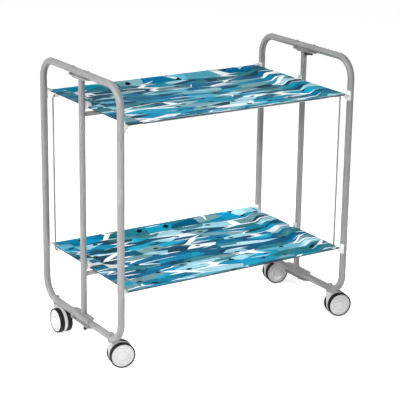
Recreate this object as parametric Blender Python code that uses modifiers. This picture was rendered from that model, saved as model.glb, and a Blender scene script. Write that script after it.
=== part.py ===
"""Folding serving trolley: two tilting trays between hinged tube frames on twin wheel castors.

Metres, +Z up, X along the trays, -Y the front.  The floor is z = 0.
"""

import math

import bmesh
import bpy
from mathutils import Matrix, Vector

# Frame of bent tube: half spacings of the tube centres and heights of the two long tubes.
FRAME_HALF_X = 0.338
FRAME_HALF_Y = 0.199
TOP_TUBE_Z = 0.7175
LOW_TUBE_Z = 0.0795
BEND_RADIUS = 0.052
BEND_STEPS = 6
TUBE_RADIUS = 0.009
TUBE_WALL = 0.0015
TUBE_ROUND_STEPS = 4

# Clearances used by every fit below.
GAP = 0.0003
HOLE_GAP = 0.0003
WELD_LAP = 0.0012

# Folding pivots of the four half frames.
PIVOT_Y = 0.038
PIVOT_TAIL = 0.010
PIN_RADIUS = 0.003
PIN_HEAD_RADIUS = 0.005
PIN_HEAD = 0.0012
PIN_STEPS = 12

# Posts between the brackets, set a little inboard of the long tubes.
POST_INSET = 0.004
POST_RADIUS = 0.008
POST_WALL = 0.0015
POST_STEPS = 16

# Brackets that carry the folding pivots.
PLATE = 0.003
PLATE_HALF_WIDTH = 0.0108
TOP_PLATE_HALF_LENGTH = 0.052
LOW_PLATE_HALF_LENGTH = 0.060
PLATE_END_STEPS = 6
BRIDGE_HALF_LENGTH = 0.024
BRIDGE_NECK_HALF_WIDTH = 0.006
SADDLE = 0.004
SADDLE_HALF_LENGTH = 0.031
TAB_THICKNESS = 0.002
TAB_START_Y = 0.0495
TAB_END_Y = 0.0565
BOLT_RADIUS = 0.006
BOLT_HEAD = 0.004
BOLT_SIDES = 6

# Trays.
TRAY_END_GAP = 0.0185
TRAY_OVERHANG = 0.008
UPPER_TRAY_DROP = 0.0865
LOWER_TRAY_LIFT = 0.1365
SHEET = 0.003
RECESS = 0.0095
END_FLANGE = 0.034
END_SLOPE = 0.022
SIDE_FLANGE = 0.008
SIDE_SLOPE = 0.020
SLOPE_SHARES = (0.0, 0.25, 0.5, 0.75, 1.0)
TRAY_CORNER = 0.007
TRAY_CORNER_STEPS = 3

# Carrier tube under each tray, and the blocks that join tray and post.
CARRIER_RADIUS = 0.006
CARRIER_WALL = 0.001
CARRIER_STEPS = 12
BLOCK_LAP = 0.010
BLOCK_HALF_Y = 0.0075
BLOCK_RISE = 0.011
BLOCK_LIP = 0.003
POST_GAP = 0.0008
TRUNNION_RADIUS = 0.003
TRUNNION_REACH = 0.004
TRUNNION_STEPS = 12

# Link rods and the lugs that hold them.
ROD_RADIUS = 0.002
ROD_ROUND_STEPS = 2
ROD_INSET = 0.032
ROD_DROP = 0.009
ROD_BEND = 0.005
ROD_BEND_STEPS = 4
ROD_TAIL = 0.0082
LUG_EDGE = 0.001
LUG_LENGTH = 0.009
LUG_HALF_Y = 0.006
LUG_HEIGHT = 0.0112

# Corner rests on the upright tubes.
REST_COLLAR = 0.002
REST_REACH = 0.0235
REST_RISE = 0.007
REST_DROP = 0.019
REST_TIP = 0.003
REST_HALF_Y = 0.0095
REST_TUBE_STEPS = 12

# Castors.  The one that would stand in the way of the tilting tray is turned clear of it.
CASTOR_INSET = 0.052
CASTOR_HEADING_DEG = -12.0
CLEAR_HEADING_DEG = -90.0
TRAIL = 0.026
WHEEL_RADIUS = 0.0325
TYRE_THICKNESS = 0.0018
TYRE_WIDTH = 0.0096
TYRE_EDGE = 0.0010
RIM_WIDTH = 0.0108
RIM_STEPS = 20
RIM_BORE_DEPTH = 0.0075
RIM_CONVEX_SHARES = ((0.40, 0.98), (0.72, 0.93), (0.95, 0.86))
RIM_EDGE_SHARE = 0.80
AXLE_RADIUS = 0.003
AXLE_STEPS = 12
WEB_HALF = 0.006
WEB_GAP = 0.0005
HOOD_MARGIN = 0.001
HOOD_START_DEG = 80.0
HOOD_END_DEG = -55.0
HOOD_STEPS = 7
HOOD_BACK_STEPS = 4
HOUSING_GAP = 0.0015
BOSS_RADIUS = 0.0085
BOSS_HEIGHT = 0.0085
WEB_FOOT = 0.014
STEM_RADIUS = 0.005
STEM_TOP_GAP = 0.0005
STEM_STEPS = 12
SLEEVE_RADIUS = 0.0085
SLEEVE_RISE = 0.0125
SLEEVE_DROP = 0.010
SLEEVE_CAP = 0.0015

# Shared sizes.
MERGE = 0.00001
CUT_MARGIN = 0.004
FULL_TURN = math.tau
GRID_HALF_SHARE = 0.5

COLLECTION = "folding_serving_trolley"
CUTTERS = "cutters"
SIDES = {"left": -1, "right": 1}
ENDS = {"front": -1, "rear": 1}
HEADINGS = {"left_rear": CLEAR_HEADING_DEG}

# Positions that follow from the values above.
TRAY_HALF_X = FRAME_HALF_X - TRAY_END_GAP
TRAY_HALF_Y = FRAME_HALF_Y + TRAY_OVERHANG
ROD_Y = TRAY_HALF_Y - ROD_INSET
CASTOR_Y = FRAME_HALF_Y - CASTOR_INSET
UPPER_TRAY_Z = TOP_TUBE_Z - UPPER_TRAY_DROP
LOWER_TRAY_Z = LOW_TUBE_Z + LOWER_TRAY_LIFT
LEVELS = {"upper": UPPER_TRAY_Z, "lower": LOWER_TRAY_Z}
HOUSING_TOP = LOW_TUBE_Z - SLEEVE_DROP - HOUSING_GAP
POST_X = FRAME_HALF_X - POST_INSET
POST_FACE_X = POST_X - POST_RADIUS
PLATE_START = TUBE_RADIUS + GAP
PLATE_END = PLATE_START + PLATE
AXIS_DROP = SHEET / 2
CARRIER_Z = -(RECESS + SHEET + GAP + CARRIER_RADIUS)
ROD_X = (TRAY_HALF_X + FRAME_HALF_X - TUBE_RADIUS) / 2

# Finishes: name, linear colour, metallic, roughness.
FINISHES = {
    "frame_lacquer": ((0.46, 0.455, 0.44, 1.0), 0.3, 0.4),
    "tray_laminate": ((0.25, 0.45, 0.50, 1.0), 0.0, 0.35),
    "rest_plastic": ((0.78, 0.78, 0.76, 1.0), 0.0, 0.5),
    "steel_wire": ((0.35, 0.35, 0.34, 1.0), 0.9, 0.4),
    "castor_plastic": ((0.72, 0.72, 0.70, 1.0), 0.0, 0.45),
    "tyre_rubber": ((0.02, 0.02, 0.02, 1.0), 0.0, 0.75),
    "pivot_steel": ((0.40, 0.40, 0.39, 1.0), 0.8, 0.35),
}


def clear_scene():
    """Remove whatever the start-up scene holds and make the two collections."""
    for item in list(bpy.data.objects):
        bpy.data.objects.remove(item, do_unlink=True)
    for name in (COLLECTION, CUTTERS):
        bpy.context.scene.collection.children.link(bpy.data.collections.new(name))


def make_finishes():
    """Make one Principled material for each finish."""
    made = {}
    for name, (colour, metallic, roughness) in FINISHES.items():
        material = bpy.data.materials.new(name)
        material.use_nodes = True
        shader = material.node_tree.nodes["Principled BSDF"]
        shader.inputs["Base Color"].default_value = colour
        shader.inputs["Metallic"].default_value = metallic
        shader.inputs["Roughness"].default_value = roughness
        made[name] = material
    return made


def add_empty(name, place, parent=None, turn_z=0.0):
    """Add an empty that marks a joint axis or a group."""
    empty = bpy.data.objects.new(name, None)
    empty.location = place
    empty.rotation_euler = (0.0, 0.0, turn_z)
    empty.parent = parent
    bpy.data.collections[COLLECTION].objects.link(empty)
    return empty


def add_mesh(name, work, collection=COLLECTION):
    """Turn an edited mesh into an object of the given collection."""
    bmesh.ops.recalc_face_normals(work, faces=work.faces[:])
    mesh = bpy.data.meshes.new(name)
    work.to_mesh(mesh)
    work.free()
    item = bpy.data.objects.new(name, mesh)
    bpy.data.collections[collection].objects.link(item)
    if collection == CUTTERS:
        item.hide_render = True
        item.display_type = "WIRE"
    return item


def dress(item, finish, parent, place=(0.0, 0.0, 0.0), smooth=False):
    """Give an object its finish, parent and place."""
    item.data.materials.append(finish)
    item.parent = parent
    item.location = place
    if smooth:
        for face in item.data.polygons:
            face.use_smooth = True
    return item


def prism(work, outline, low, high, plane):
    """Add a closed prism: an outline in a plane, run from low to high across it."""
    order = {"XY": (0, 1, 2), "XZ": (0, 2, 1), "YZ": (1, 2, 0)}[plane]
    rings = []
    for level in (low, high):
        ring = []
        for first, second in outline:
            spot = [0.0, 0.0, 0.0]
            spot[order[0]] = first
            spot[order[1]] = second
            spot[order[2]] = level
            ring.append(work.verts.new(spot))
        rings.append(ring)
    count = len(outline)
    work.faces.new(rings[0])
    work.faces.new(list(reversed(rings[1])))
    for index in range(count):
        after = (index + 1) % count
        work.faces.new((rings[0][index], rings[1][index], rings[1][after], rings[0][after]))


def block(work, low, high):
    """Add a box between two corners."""
    size = [top - bottom for bottom, top in zip(low, high)]
    middle = [(top + bottom) / 2 for bottom, top in zip(low, high)]
    place = Matrix.Translation(middle) @ Matrix.Diagonal((*size, 1.0))
    bmesh.ops.create_cube(work, size=1.0, matrix=place)


def rod(work, start, finish, radius, steps):
    """Add a cylinder between two points."""
    start = Vector(start)
    along = Vector(finish) - start
    turn = Vector((0.0, 0.0, 1.0)).rotation_difference(along).to_matrix().to_4x4()
    place = Matrix.Translation(start + along / 2) @ turn
    bmesh.ops.create_cone(work, cap_ends=True, segments=steps, radius1=radius,
                          radius2=radius, depth=along.length, matrix=place)


def shape(item, operation, work):
    """Add an exact Boolean that uses the edited mesh as its other side."""
    other = add_mesh(f"{item.name}.{operation.lower()}{len(item.modifiers)}", work, CUTTERS)
    other.parent = item.parent
    other.location = item.location
    modifier = item.modifiers.new(operation.lower(), "BOOLEAN")
    modifier.operation = operation
    modifier.solver = "EXACT"
    modifier.object = other


def turned(name, profile, steps, closed=False):
    """Make a turned piece from a profile that runs down its outer side."""
    work = bmesh.new()
    points = [work.verts.new((radius, 0.0, height)) for radius, height in profile]
    for first, second in zip(points, points[1:]):
        work.edges.new((first, second))
    if closed:
        work.edges.new((points[-1], points[0]))
    item = add_mesh(name, work)
    modifier = item.modifiers.new("turn", "SCREW")
    modifier.axis = "Z"
    modifier.angle = FULL_TURN
    modifier.steps = steps
    modifier.render_steps = steps
    modifier.use_merge_vertices = True
    modifier.merge_threshold = MERGE
    modifier.use_smooth_shade = True
    return item


def curve_mesh(name, path, radius, bevel):
    """Sweep a round section along a path of points and return it as a mesh datablock."""
    curve = bpy.data.curves.new(name, "CURVE")
    curve.dimensions = "3D"
    curve.bevel_depth = radius
    curve.bevel_resolution = bevel
    curve.use_fill_caps = True
    spline = curve.splines.new("POLY")
    spline.points.add(len(path) - 1)
    for point, spot in zip(spline.points, path):
        point.co = (*spot, 1.0)
    holder = bpy.data.objects.new(name, curve)
    bpy.data.collections[COLLECTION].objects.link(holder)
    bpy.context.view_layer.update()
    graph = bpy.context.evaluated_depsgraph_get()
    mesh = bpy.data.meshes.new_from_object(holder.evaluated_get(graph))
    bpy.data.objects.remove(holder, do_unlink=True)
    work = bmesh.new()
    work.from_mesh(mesh)
    bpy.data.meshes.remove(mesh)
    bmesh.ops.remove_doubles(work, verts=work.verts[:], dist=MERGE)
    return work


def arc(middle, radius, start, finish, steps):
    """List the points of an arc, both ends included."""
    points = []
    for index in range(steps + 1):
        angle = start + (finish - start) * index / steps
        points.append((middle[0] + radius * math.cos(angle),
                       middle[1] + radius * math.sin(angle)))
    return points


def half_frame_path(end, overrun):
    """List the centre line of one half frame, relative to its folding pivot."""
    outer = FRAME_HALF_Y - BEND_RADIUS
    tail = PIVOT_Y - PIVOT_TAIL - overrun
    top = arc((outer, TOP_TUBE_Z - BEND_RADIUS), BEND_RADIUS, math.pi / 2, 0.0, BEND_STEPS)
    low = arc((outer, LOW_TUBE_Z + BEND_RADIUS), BEND_RADIUS, 0.0, -math.pi / 2, BEND_STEPS)
    flat = [(tail, TOP_TUBE_Z), *top, *low, (tail, LOW_TUBE_Z)]
    return [(0.0, end * (across - PIVOT_Y), height) for across, height in flat]


def half_frame(name, end, finish, parent):
    """Make one bent tube with its castor sleeve, bore and pin holes."""
    solid = curve_mesh(name, half_frame_path(end, 0.0), TUBE_RADIUS, TUBE_ROUND_STEPS)
    item = dress(add_mesh(name, solid), finish, parent, smooth=True)
    castor = end * (CASTOR_Y - PIVOT_Y)
    low = LOW_TUBE_Z - SLEEVE_DROP
    high = LOW_TUBE_Z + SLEEVE_RISE
    sleeve = bmesh.new()
    rod(sleeve, (0.0, castor, low), (0.0, castor, high), SLEEVE_RADIUS, STEM_STEPS)
    shape(item, "UNION", sleeve)
    holes = bmesh.new()
    rod(holes, (0.0, castor, low - CUT_MARGIN), (0.0, castor, high - SLEEVE_CAP),
        STEM_RADIUS + HOLE_GAP, STEM_STEPS)
    for height in (TOP_TUBE_Z, LOW_TUBE_Z):
        reach = TUBE_RADIUS + CUT_MARGIN
        rod(holes, (0.0, 0.0, height - reach), (0.0, 0.0, height + reach),
            PIN_RADIUS + HOLE_GAP, PIN_STEPS)
    shape(item, "DIFFERENCE", holes)
    bore = curve_mesh(name, half_frame_path(end, CUT_MARGIN), TUBE_RADIUS - TUBE_WALL,
                      TUBE_ROUND_STEPS)
    shape(item, "DIFFERENCE", bore)
    return item


def plate_outline(half_length):
    """Outline a plate with round ends, centred on the long tube."""
    radius = PLATE_HALF_WIDTH
    reach = half_length - radius
    return [*arc((0.0, reach), radius, 0.0, math.pi, PLATE_END_STEPS),
            *arc((0.0, -reach), radius, math.pi, math.tau, PLATE_END_STEPS)]


def pin_holes(low, high):
    """Cutters for the two pin holes of a bracket."""
    work = bmesh.new()
    for end in ENDS.values():
        rod(work, (0.0, end * PIVOT_Y, low - CUT_MARGIN), (0.0, end * PIVOT_Y, high + CUT_MARGIN),
            PIN_RADIUS + HOLE_GAP, PIN_STEPS)
    return work


def add_bridge(item, high):
    """Weld the short tube between the long tubes' ends to a bracket."""
    neck = bmesh.new()
    block(neck, (-BRIDGE_NECK_HALF_WIDTH, -BRIDGE_HALF_LENGTH, -PLATE_START - WELD_LAP),
          (BRIDGE_NECK_HALF_WIDTH, BRIDGE_HALF_LENGTH, high))
    shape(item, "UNION", neck)
    bridge = bmesh.new()
    rod(bridge, (0.0, -BRIDGE_HALF_LENGTH - MERGE, 0.0), (0.0, BRIDGE_HALF_LENGTH + MERGE, 0.0),
        TUBE_RADIUS, PIN_STEPS)
    shape(item, "UNION", bridge)


def top_bracket(name, finish, parent, side):
    """Make the plate under the top tubes with the short tube that bridges them."""
    work = bmesh.new()
    prism(work, plate_outline(TOP_PLATE_HALF_LENGTH), -PLATE_END, -PLATE_START, "XY")
    place = (side * FRAME_HALF_X, 0.0, TOP_TUBE_Z)
    item = dress(add_mesh(name, work), finish, parent, place)
    saddle = bmesh.new()
    block(saddle, (-POST_RADIUS, -SADDLE_HALF_LENGTH, -PLATE_END - SADDLE),
          (POST_RADIUS, SADDLE_HALF_LENGTH, -PLATE_END + WELD_LAP))
    shape(item, "UNION", saddle)
    add_bridge(item, 0.0)
    shape(item, "DIFFERENCE", pin_holes(-PLATE_END, -PLATE_START))
    return item


def bottom_bracket(name, finish, parent, side):
    """Make the two plates that hold the low tubes, with tabs, bridge and the post's bolt."""
    work = bmesh.new()
    outline = plate_outline(LOW_PLATE_HALF_LENGTH)
    for level in (-1, 1):
        ends = sorted((level * PLATE_START, level * PLATE_END))
        prism(work, outline, ends[0], ends[1], "XY")
    place = (side * FRAME_HALF_X, 0.0, LOW_TUBE_Z)
    item = dress(add_mesh(name, work), finish, parent, place)
    outer = TUBE_RADIUS + GAP
    for end in ENDS.values():
        tab = bmesh.new()
        across = sorted((end * TAB_START_Y, end * TAB_END_Y))
        along = sorted((side * outer, side * (outer + TAB_THICKNESS)))
        half = PLATE_END - WELD_LAP
        block(tab, (along[0], across[0], -half), (along[1], across[1], half))
        shape(item, "UNION", tab)
    add_bridge(item, PLATE_START + WELD_LAP)
    bolt = bmesh.new()
    spot = -side * POST_INSET
    rod(bolt, (spot, 0.0, -PLATE_END - BOLT_HEAD), (spot, 0.0, -PLATE_END + WELD_LAP),
        BOLT_RADIUS, BOLT_SIDES)
    shape(item, "UNION", bolt)
    shape(item, "DIFFERENCE", pin_holes(-PLATE_END, PLATE_END))
    return item


def hinge_pin(name, low, high, finish, parent, place):
    """Make one pin with a low head at each end."""
    crown = PIN_HEAD_RADIUS - PIN_HEAD
    profile = [(0.0, high + PIN_HEAD), (crown, high + PIN_HEAD), (PIN_HEAD_RADIUS, high),
               (PIN_RADIUS, high), (PIN_RADIUS, low), (PIN_HEAD_RADIUS, low),
               (crown, low - PIN_HEAD), (0.0, low - PIN_HEAD)]
    return dress(turned(name, profile, PIN_STEPS), finish, parent, place)


def post(name, finish, parent, side):
    """Make one hollow post with holes for the tray pivots."""
    low = LOW_TUBE_Z + PLATE_END + GAP
    high = TOP_TUBE_Z - PLATE_END - SADDLE - GAP
    inner = POST_RADIUS - POST_WALL
    profile = [(inner, high), (POST_RADIUS, high), (POST_RADIUS, low), (inner, low)]
    item = dress(turned(name, profile, POST_STEPS, closed=True), finish, parent,
                 (side * POST_X, 0.0, 0.0))
    holes = bmesh.new()
    for height in LEVELS.values():
        spot = height - AXIS_DROP
        rod(holes, (0.0, 0.0, spot), (-side * (POST_RADIUS + CUT_MARGIN), 0.0, spot),
            TRUNNION_RADIUS + HOLE_GAP, TRUNNION_STEPS)
    shape(item, "DIFFERENCE", holes)
    return item


def stations(half, flange, slope):
    """List the grid lines of a tray along one direction."""
    shares = [half - flange - slope * share for share in SLOPE_SHARES]
    outward = [half, *shares]
    return [-value for value in outward] + list(reversed(outward))


def dip(distance, slope):
    """Share of the recess reached at a distance inside the flange: an S shaped slope."""
    share = min(max(distance / slope, 0.0), 1.0)
    return share * share * (3.0 - 2.0 * share)


def tray(name, finish, parent):
    """Make one moulded tray, its rim's middle plane at the height of its pivots."""
    columns = stations(TRAY_HALF_X, END_FLANGE, END_SLOPE)
    rows = stations(TRAY_HALF_Y, SIDE_FLANGE, SIDE_SLOPE)
    work = bmesh.new()
    last_x = len(columns) - 1
    last_y = len(rows) - 1
    bmesh.ops.create_grid(work, x_segments=last_x, y_segments=last_y, size=GRID_HALF_SHARE)
    corners = []
    for vert in work.verts:
        column = round((vert.co.x + GRID_HALF_SHARE) * last_x)
        row = round((vert.co.y + GRID_HALF_SHARE) * last_y)
        across = columns[column]
        deep = rows[row]
        down = min(dip(TRAY_HALF_X - END_FLANGE - abs(across), END_SLOPE),
                   dip(TRAY_HALF_Y - SIDE_FLANGE - abs(deep), SIDE_SLOPE))
        vert.co = (across, deep, AXIS_DROP - RECESS * down)
        if column in (0, last_x) and row in (0, last_y):
            corners.append(vert)
    bmesh.ops.bevel(work, geom=corners, offset=TRAY_CORNER, affect="VERTICES",
                    segments=TRAY_CORNER_STEPS, profile=0.5)
    bmesh.ops.triangulate(work, faces=work.faces[:])
    item = dress(add_mesh(name, work), finish, parent)
    modifier = item.modifiers.new("sheet", "SOLIDIFY")
    modifier.thickness = SHEET
    modifier.offset = -1.0
    modifier.use_even_offset = True
    return item


def carrier_tube(name, finish, parent):
    """Make the round tube that runs under one tray."""
    reach = POST_FACE_X - POST_GAP
    inner = CARRIER_RADIUS - CARRIER_WALL
    profile = [(inner, reach), (CARRIER_RADIUS, reach), (CARRIER_RADIUS, -reach),
               (inner, -reach)]
    item = dress(turned(name, profile, CARRIER_STEPS, closed=True), finish, parent,
                 (0.0, 0.0, AXIS_DROP + CARRIER_Z))
    item.rotation_euler = (0.0, math.pi / 2, 0.0)
    return item


def pivot_block(name, finish, parent, side):
    """Make the block that clips over a tray's end and turns in the post."""
    outer = POST_FACE_X - POST_GAP
    inner = TRAY_HALF_X - BLOCK_LAP
    slot = TRAY_HALF_X + GAP
    rim = AXIS_DROP
    top = rim + BLOCK_RISE
    low = rim - SHEET - GAP - BLOCK_LIP
    outline = [(inner, low), (outer, low), (outer, top), (inner, top), (inner, rim + GAP),
               (slot, rim + GAP), (slot, rim - SHEET - GAP), (inner, rim - SHEET - GAP)]
    work = bmesh.new()
    prism(work, [(side * across, height) for across, height in outline],
          -BLOCK_HALF_Y, BLOCK_HALF_Y, "XZ")
    item = dress(add_mesh(name, work), finish, parent)
    stub = bmesh.new()
    rod(stub, (side * (outer - WELD_LAP), 0.0, 0.0),
        (side * (POST_FACE_X + TRUNNION_REACH), 0.0, 0.0), TRUNNION_RADIUS, TRUNNION_STEPS)
    shape(item, "UNION", stub)
    return item


def rod_lug(name, finish, parent, side, end):
    """Make the lug under a tray's end flange that holds a link rod."""
    outer = TRAY_HALF_X - LUG_EDGE
    inner = outer - LUG_LENGTH
    high = AXIS_DROP - SHEET - GAP
    along = sorted((side * inner, side * outer))
    middle = end * ROD_Y
    work = bmesh.new()
    block(work, (along[0], middle - LUG_HALF_Y, high - LUG_HEIGHT),
          (along[1], middle + LUG_HALF_Y, high))
    item = dress(add_mesh(name, work), finish, parent)
    hole = bmesh.new()
    level = AXIS_DROP - ROD_DROP
    rod(hole, (side * (inner - CUT_MARGIN), middle, level),
        (side * (outer + CUT_MARGIN), middle, level), ROD_RADIUS + HOLE_GAP, PIN_STEPS)
    shape(item, "DIFFERENCE", hole)
    return item


def link_rod(name, finish, parent, side):
    """Make one link rod: its ends turn inboard into the lugs of both trays."""
    drop = UPPER_TRAY_Z - LOWER_TRAY_Z
    tail = ROD_BEND + ROD_TAIL
    upper = arc((-ROD_BEND, -ROD_BEND), ROD_BEND, math.pi / 2, 0.0, ROD_BEND_STEPS)
    lower = arc((-ROD_BEND, ROD_BEND - drop), ROD_BEND, 0.0, -math.pi / 2, ROD_BEND_STEPS)
    flat = [(-tail, 0.0), *upper, *lower, (-tail, -drop)]
    path = [(side * (ROD_X + across), 0.0, height) for across, height in flat]
    work = curve_mesh(name, path, ROD_RADIUS, ROD_ROUND_STEPS)
    return dress(add_mesh(name, work), finish, parent, smooth=True)


def corner_rest(name, finish, parent, side, end, height):
    """Make one rest: a ledge below the tray at the front, a stop above it at the rear."""
    collar = TUBE_RADIUS + REST_COLLAR
    if end < 0:
        under = -SHEET - GAP
        reach = [(REST_REACH, under), (REST_REACH, under - REST_TIP), (collar, -REST_DROP),
                 (0.0, -REST_DROP), (0.0, REST_RISE), (collar, REST_RISE), (collar, under)]
    else:
        reach = [(REST_REACH, GAP), (collar, GAP), (collar, -REST_DROP), (0.0, -REST_DROP),
                 (0.0, REST_RISE), (collar, REST_RISE), (REST_REACH, GAP + REST_TIP)]
    work = bmesh.new()
    prism(work, [(-side * across, level) for across, level in reach],
          -REST_HALF_Y, REST_HALF_Y, "XZ")
    place = (0.0, end * (FRAME_HALF_Y - PIVOT_Y), height)
    item = dress(add_mesh(name, work), finish, parent, place)
    seat = bmesh.new()
    rod(seat, (0.0, 0.0, -REST_DROP - CUT_MARGIN), (0.0, 0.0, REST_RISE + CUT_MARGIN),
        TUBE_RADIUS + GAP, REST_TUBE_STEPS)
    shape(item, "DIFFERENCE", seat)
    return item


def castor_housing(name, finish, parent):
    """Make the round core between the wheels with its boss, stem and axle."""
    hood = WHEEL_RADIUS - HOOD_MARGIN
    middle = (TRAIL, WHEEL_RADIUS)
    start = math.radians(HOOD_START_DEG)
    finish_angle = math.radians(HOOD_END_DEG)
    ahead = arc(middle, hood, start, finish_angle, HOOD_STEPS)
    behind = arc(middle, hood, -math.pi - finish_angle, -math.pi, HOOD_BACK_STEPS)
    outline = [(-BOSS_RADIUS, HOUSING_TOP), (BOSS_RADIUS, HOUSING_TOP), *ahead, *behind,
               (-BOSS_RADIUS, HOUSING_TOP - WEB_FOOT)]
    work = bmesh.new()
    prism(work, outline, -WEB_HALF, WEB_HALF, "XZ")
    item = dress(add_mesh(name, work), finish, parent)
    stem = bmesh.new()
    low = HOUSING_TOP - BOSS_HEIGHT
    rod(stem, (0.0, 0.0, low), (0.0, 0.0, HOUSING_TOP + MERGE), BOSS_RADIUS + MERGE, STEM_STEPS)
    shape(item, "UNION", stem)
    shaft = bmesh.new()
    high = LOW_TUBE_Z + SLEEVE_RISE - SLEEVE_CAP - STEM_TOP_GAP
    rod(shaft, (0.0, 0.0, HOUSING_TOP - WELD_LAP), (0.0, 0.0, high), STEM_RADIUS, STEM_STEPS)
    shape(item, "UNION", shaft)
    axle = bmesh.new()
    reach = WEB_HALF + WEB_GAP + RIM_BORE_DEPTH - GAP
    rod(axle, (TRAIL, -reach, WHEEL_RADIUS), (TRAIL, reach, WHEEL_RADIUS), AXLE_RADIUS, AXLE_STEPS)
    shape(item, "UNION", axle)
    return item


def wheel(prefix, which, side, finishes, parent):
    """Make one wheel: a domed rim with a blind bore, and its tyre."""
    radius = WHEEL_RADIUS - TYRE_THICKNESS - GAP
    bore = AXLE_RADIUS + HOLE_GAP
    dome = [(radius * across, RIM_WIDTH * out) for across, out in RIM_CONVEX_SHARES]
    rim_profile = [(0.0, RIM_WIDTH), *dome, (radius, RIM_WIDTH * RIM_EDGE_SHARE), (radius, 0.0),
                   (bore, 0.0), (bore, RIM_BORE_DEPTH), (0.0, RIM_BORE_DEPTH)]
    inner = radius + GAP
    edge = WHEEL_RADIUS - TYRE_EDGE
    tyre_profile = [(inner, TYRE_WIDTH), (edge, TYRE_WIDTH),
                    (WHEEL_RADIUS, TYRE_WIDTH - TYRE_EDGE), (WHEEL_RADIUS, TYRE_EDGE),
                    (edge, 0.0), (inner, 0.0)]
    place = (TRAIL, side * (WEB_HALF + WEB_GAP), WHEEL_RADIUS)
    turn = (-side * math.pi / 2, 0.0, 0.0)
    rim = turned(f"{prefix}_rim_{which}", rim_profile, RIM_STEPS)
    tyre = turned(f"{prefix}_tyre_{which}", tyre_profile, RIM_STEPS, closed=True)
    for item, finish in ((rim, finishes["castor_plastic"]), (tyre, finishes["tyre_rubber"])):
        dress(item, finish, parent, place)
        item.rotation_euler = turn


def build_side(side_name, side, finishes, base):
    """Build the post, brackets, half frames, rests and castors of one side."""
    lacquer = finishes["frame_lacquer"]
    post(f"post_{side_name}", lacquer, base, side)
    top_bracket(f"top_bracket_{side_name}", lacquer, base, side)
    bottom_bracket(f"bottom_bracket_{side_name}", lacquer, base, side)
    for end_name, end in ENDS.items():
        corner = f"{side_name}_{end_name}"
        pivot = (side * FRAME_HALF_X, end * PIVOT_Y, 0.0)
        hinge = add_empty(f"fold_{corner}", pivot, base)
        hinge_pin(f"hinge_pin_top_{corner}", -PLATE_END - GAP, TUBE_RADIUS + GAP,
                  finishes["pivot_steel"], base, (pivot[0], pivot[1], TOP_TUBE_Z))
        hinge_pin(f"hinge_pin_bottom_{corner}", -PLATE_END - GAP, PLATE_END + GAP,
                  finishes["pivot_steel"], base, (pivot[0], pivot[1], LOW_TUBE_Z))
        half_frame(f"half_frame_{corner}", end, lacquer, hinge)
        for level_name, height in LEVELS.items():
            corner_rest(f"corner_rest_{level_name}_{corner}", finishes["rest_plastic"],
                        hinge, side, end, height)
        stem = (0.0, end * (CASTOR_Y - PIVOT_Y), 0.0)
        heading = math.radians(HEADINGS.get(corner, CASTOR_HEADING_DEG))
        swivel = add_empty(f"swivel_{corner}", stem, hinge, heading)
        prefix = f"castor_{corner}"
        castor_housing(f"{prefix}_housing", finishes["castor_plastic"], swivel)
        wheel(prefix, "front", -1, finishes, swivel)
        wheel(prefix, "rear", 1, finishes, swivel)


def build_trays(finishes, base):
    """Build both trays with their carrier tubes, blocks, lugs and link rods."""
    rods = {"left": "rear", "right": "front"}
    for level_name, height in LEVELS.items():
        axis = add_empty(f"tilt_{level_name}", (0.0, 0.0, height - AXIS_DROP), base)
        tray(f"tray_{level_name}", finishes["tray_laminate"], axis)
        carrier_tube(f"carrier_tube_{level_name}", finishes["frame_lacquer"], axis)
        for side_name, side in SIDES.items():
            pivot_block(f"pivot_block_{level_name}_{side_name}", finishes["rest_plastic"],
                        axis, side)
            rod_lug(f"rod_lug_{level_name}_{side_name}", finishes["rest_plastic"], axis,
                    side, ENDS[rods[side_name]])
    upper = bpy.data.objects["tilt_upper"]
    for side_name, end_name in rods.items():
        spot = (0.0, ENDS[end_name] * ROD_Y, AXIS_DROP - ROD_DROP)
        lug = add_empty(f"rod_pivot_{side_name}", spot, upper)
        link_rod(f"link_rod_{side_name}_{end_name}", finishes["steel_wire"], lug,
                 SIDES[side_name])


def centre(base):
    """Move the whole trolley so that its bounding box is centred over the origin in X."""
    bpy.context.view_layer.update()
    graph = bpy.context.evaluated_depsgraph_get()
    spots = []
    for item in bpy.data.collections[COLLECTION].objects:
        if item.type == "MESH":
            solid = item.evaluated_get(graph)
            spots.extend((item.matrix_world @ vert.co).x for vert in solid.data.vertices)
    base.location.x = -(min(spots) + max(spots)) / 2


def main():
    """Build the trolley."""
    clear_scene()
    finishes = make_finishes()
    base = add_empty("trolley", (0.0, 0.0, 0.0))
    for side_name, side in SIDES.items():
        build_side(side_name, side, finishes, base)
    build_trays(finishes, base)
    centre(base)


main()
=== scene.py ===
"""Folding serving trolley: the finished look of every piece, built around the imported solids.

Metres, +Z up, X along the trays, -Y the front.  The floor is z = 0.
"""

import logging
import math
from collections.abc import Iterable, Sequence
from dataclasses import dataclass, field
from enum import Enum
from typing import Any

import bmesh
import bpy
from bmesh.types import BMEdge, BMesh, BMVert
from bpy.types import Material, Node, NodeSocket, Object, World
from mathutils import Matrix, Vector


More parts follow.
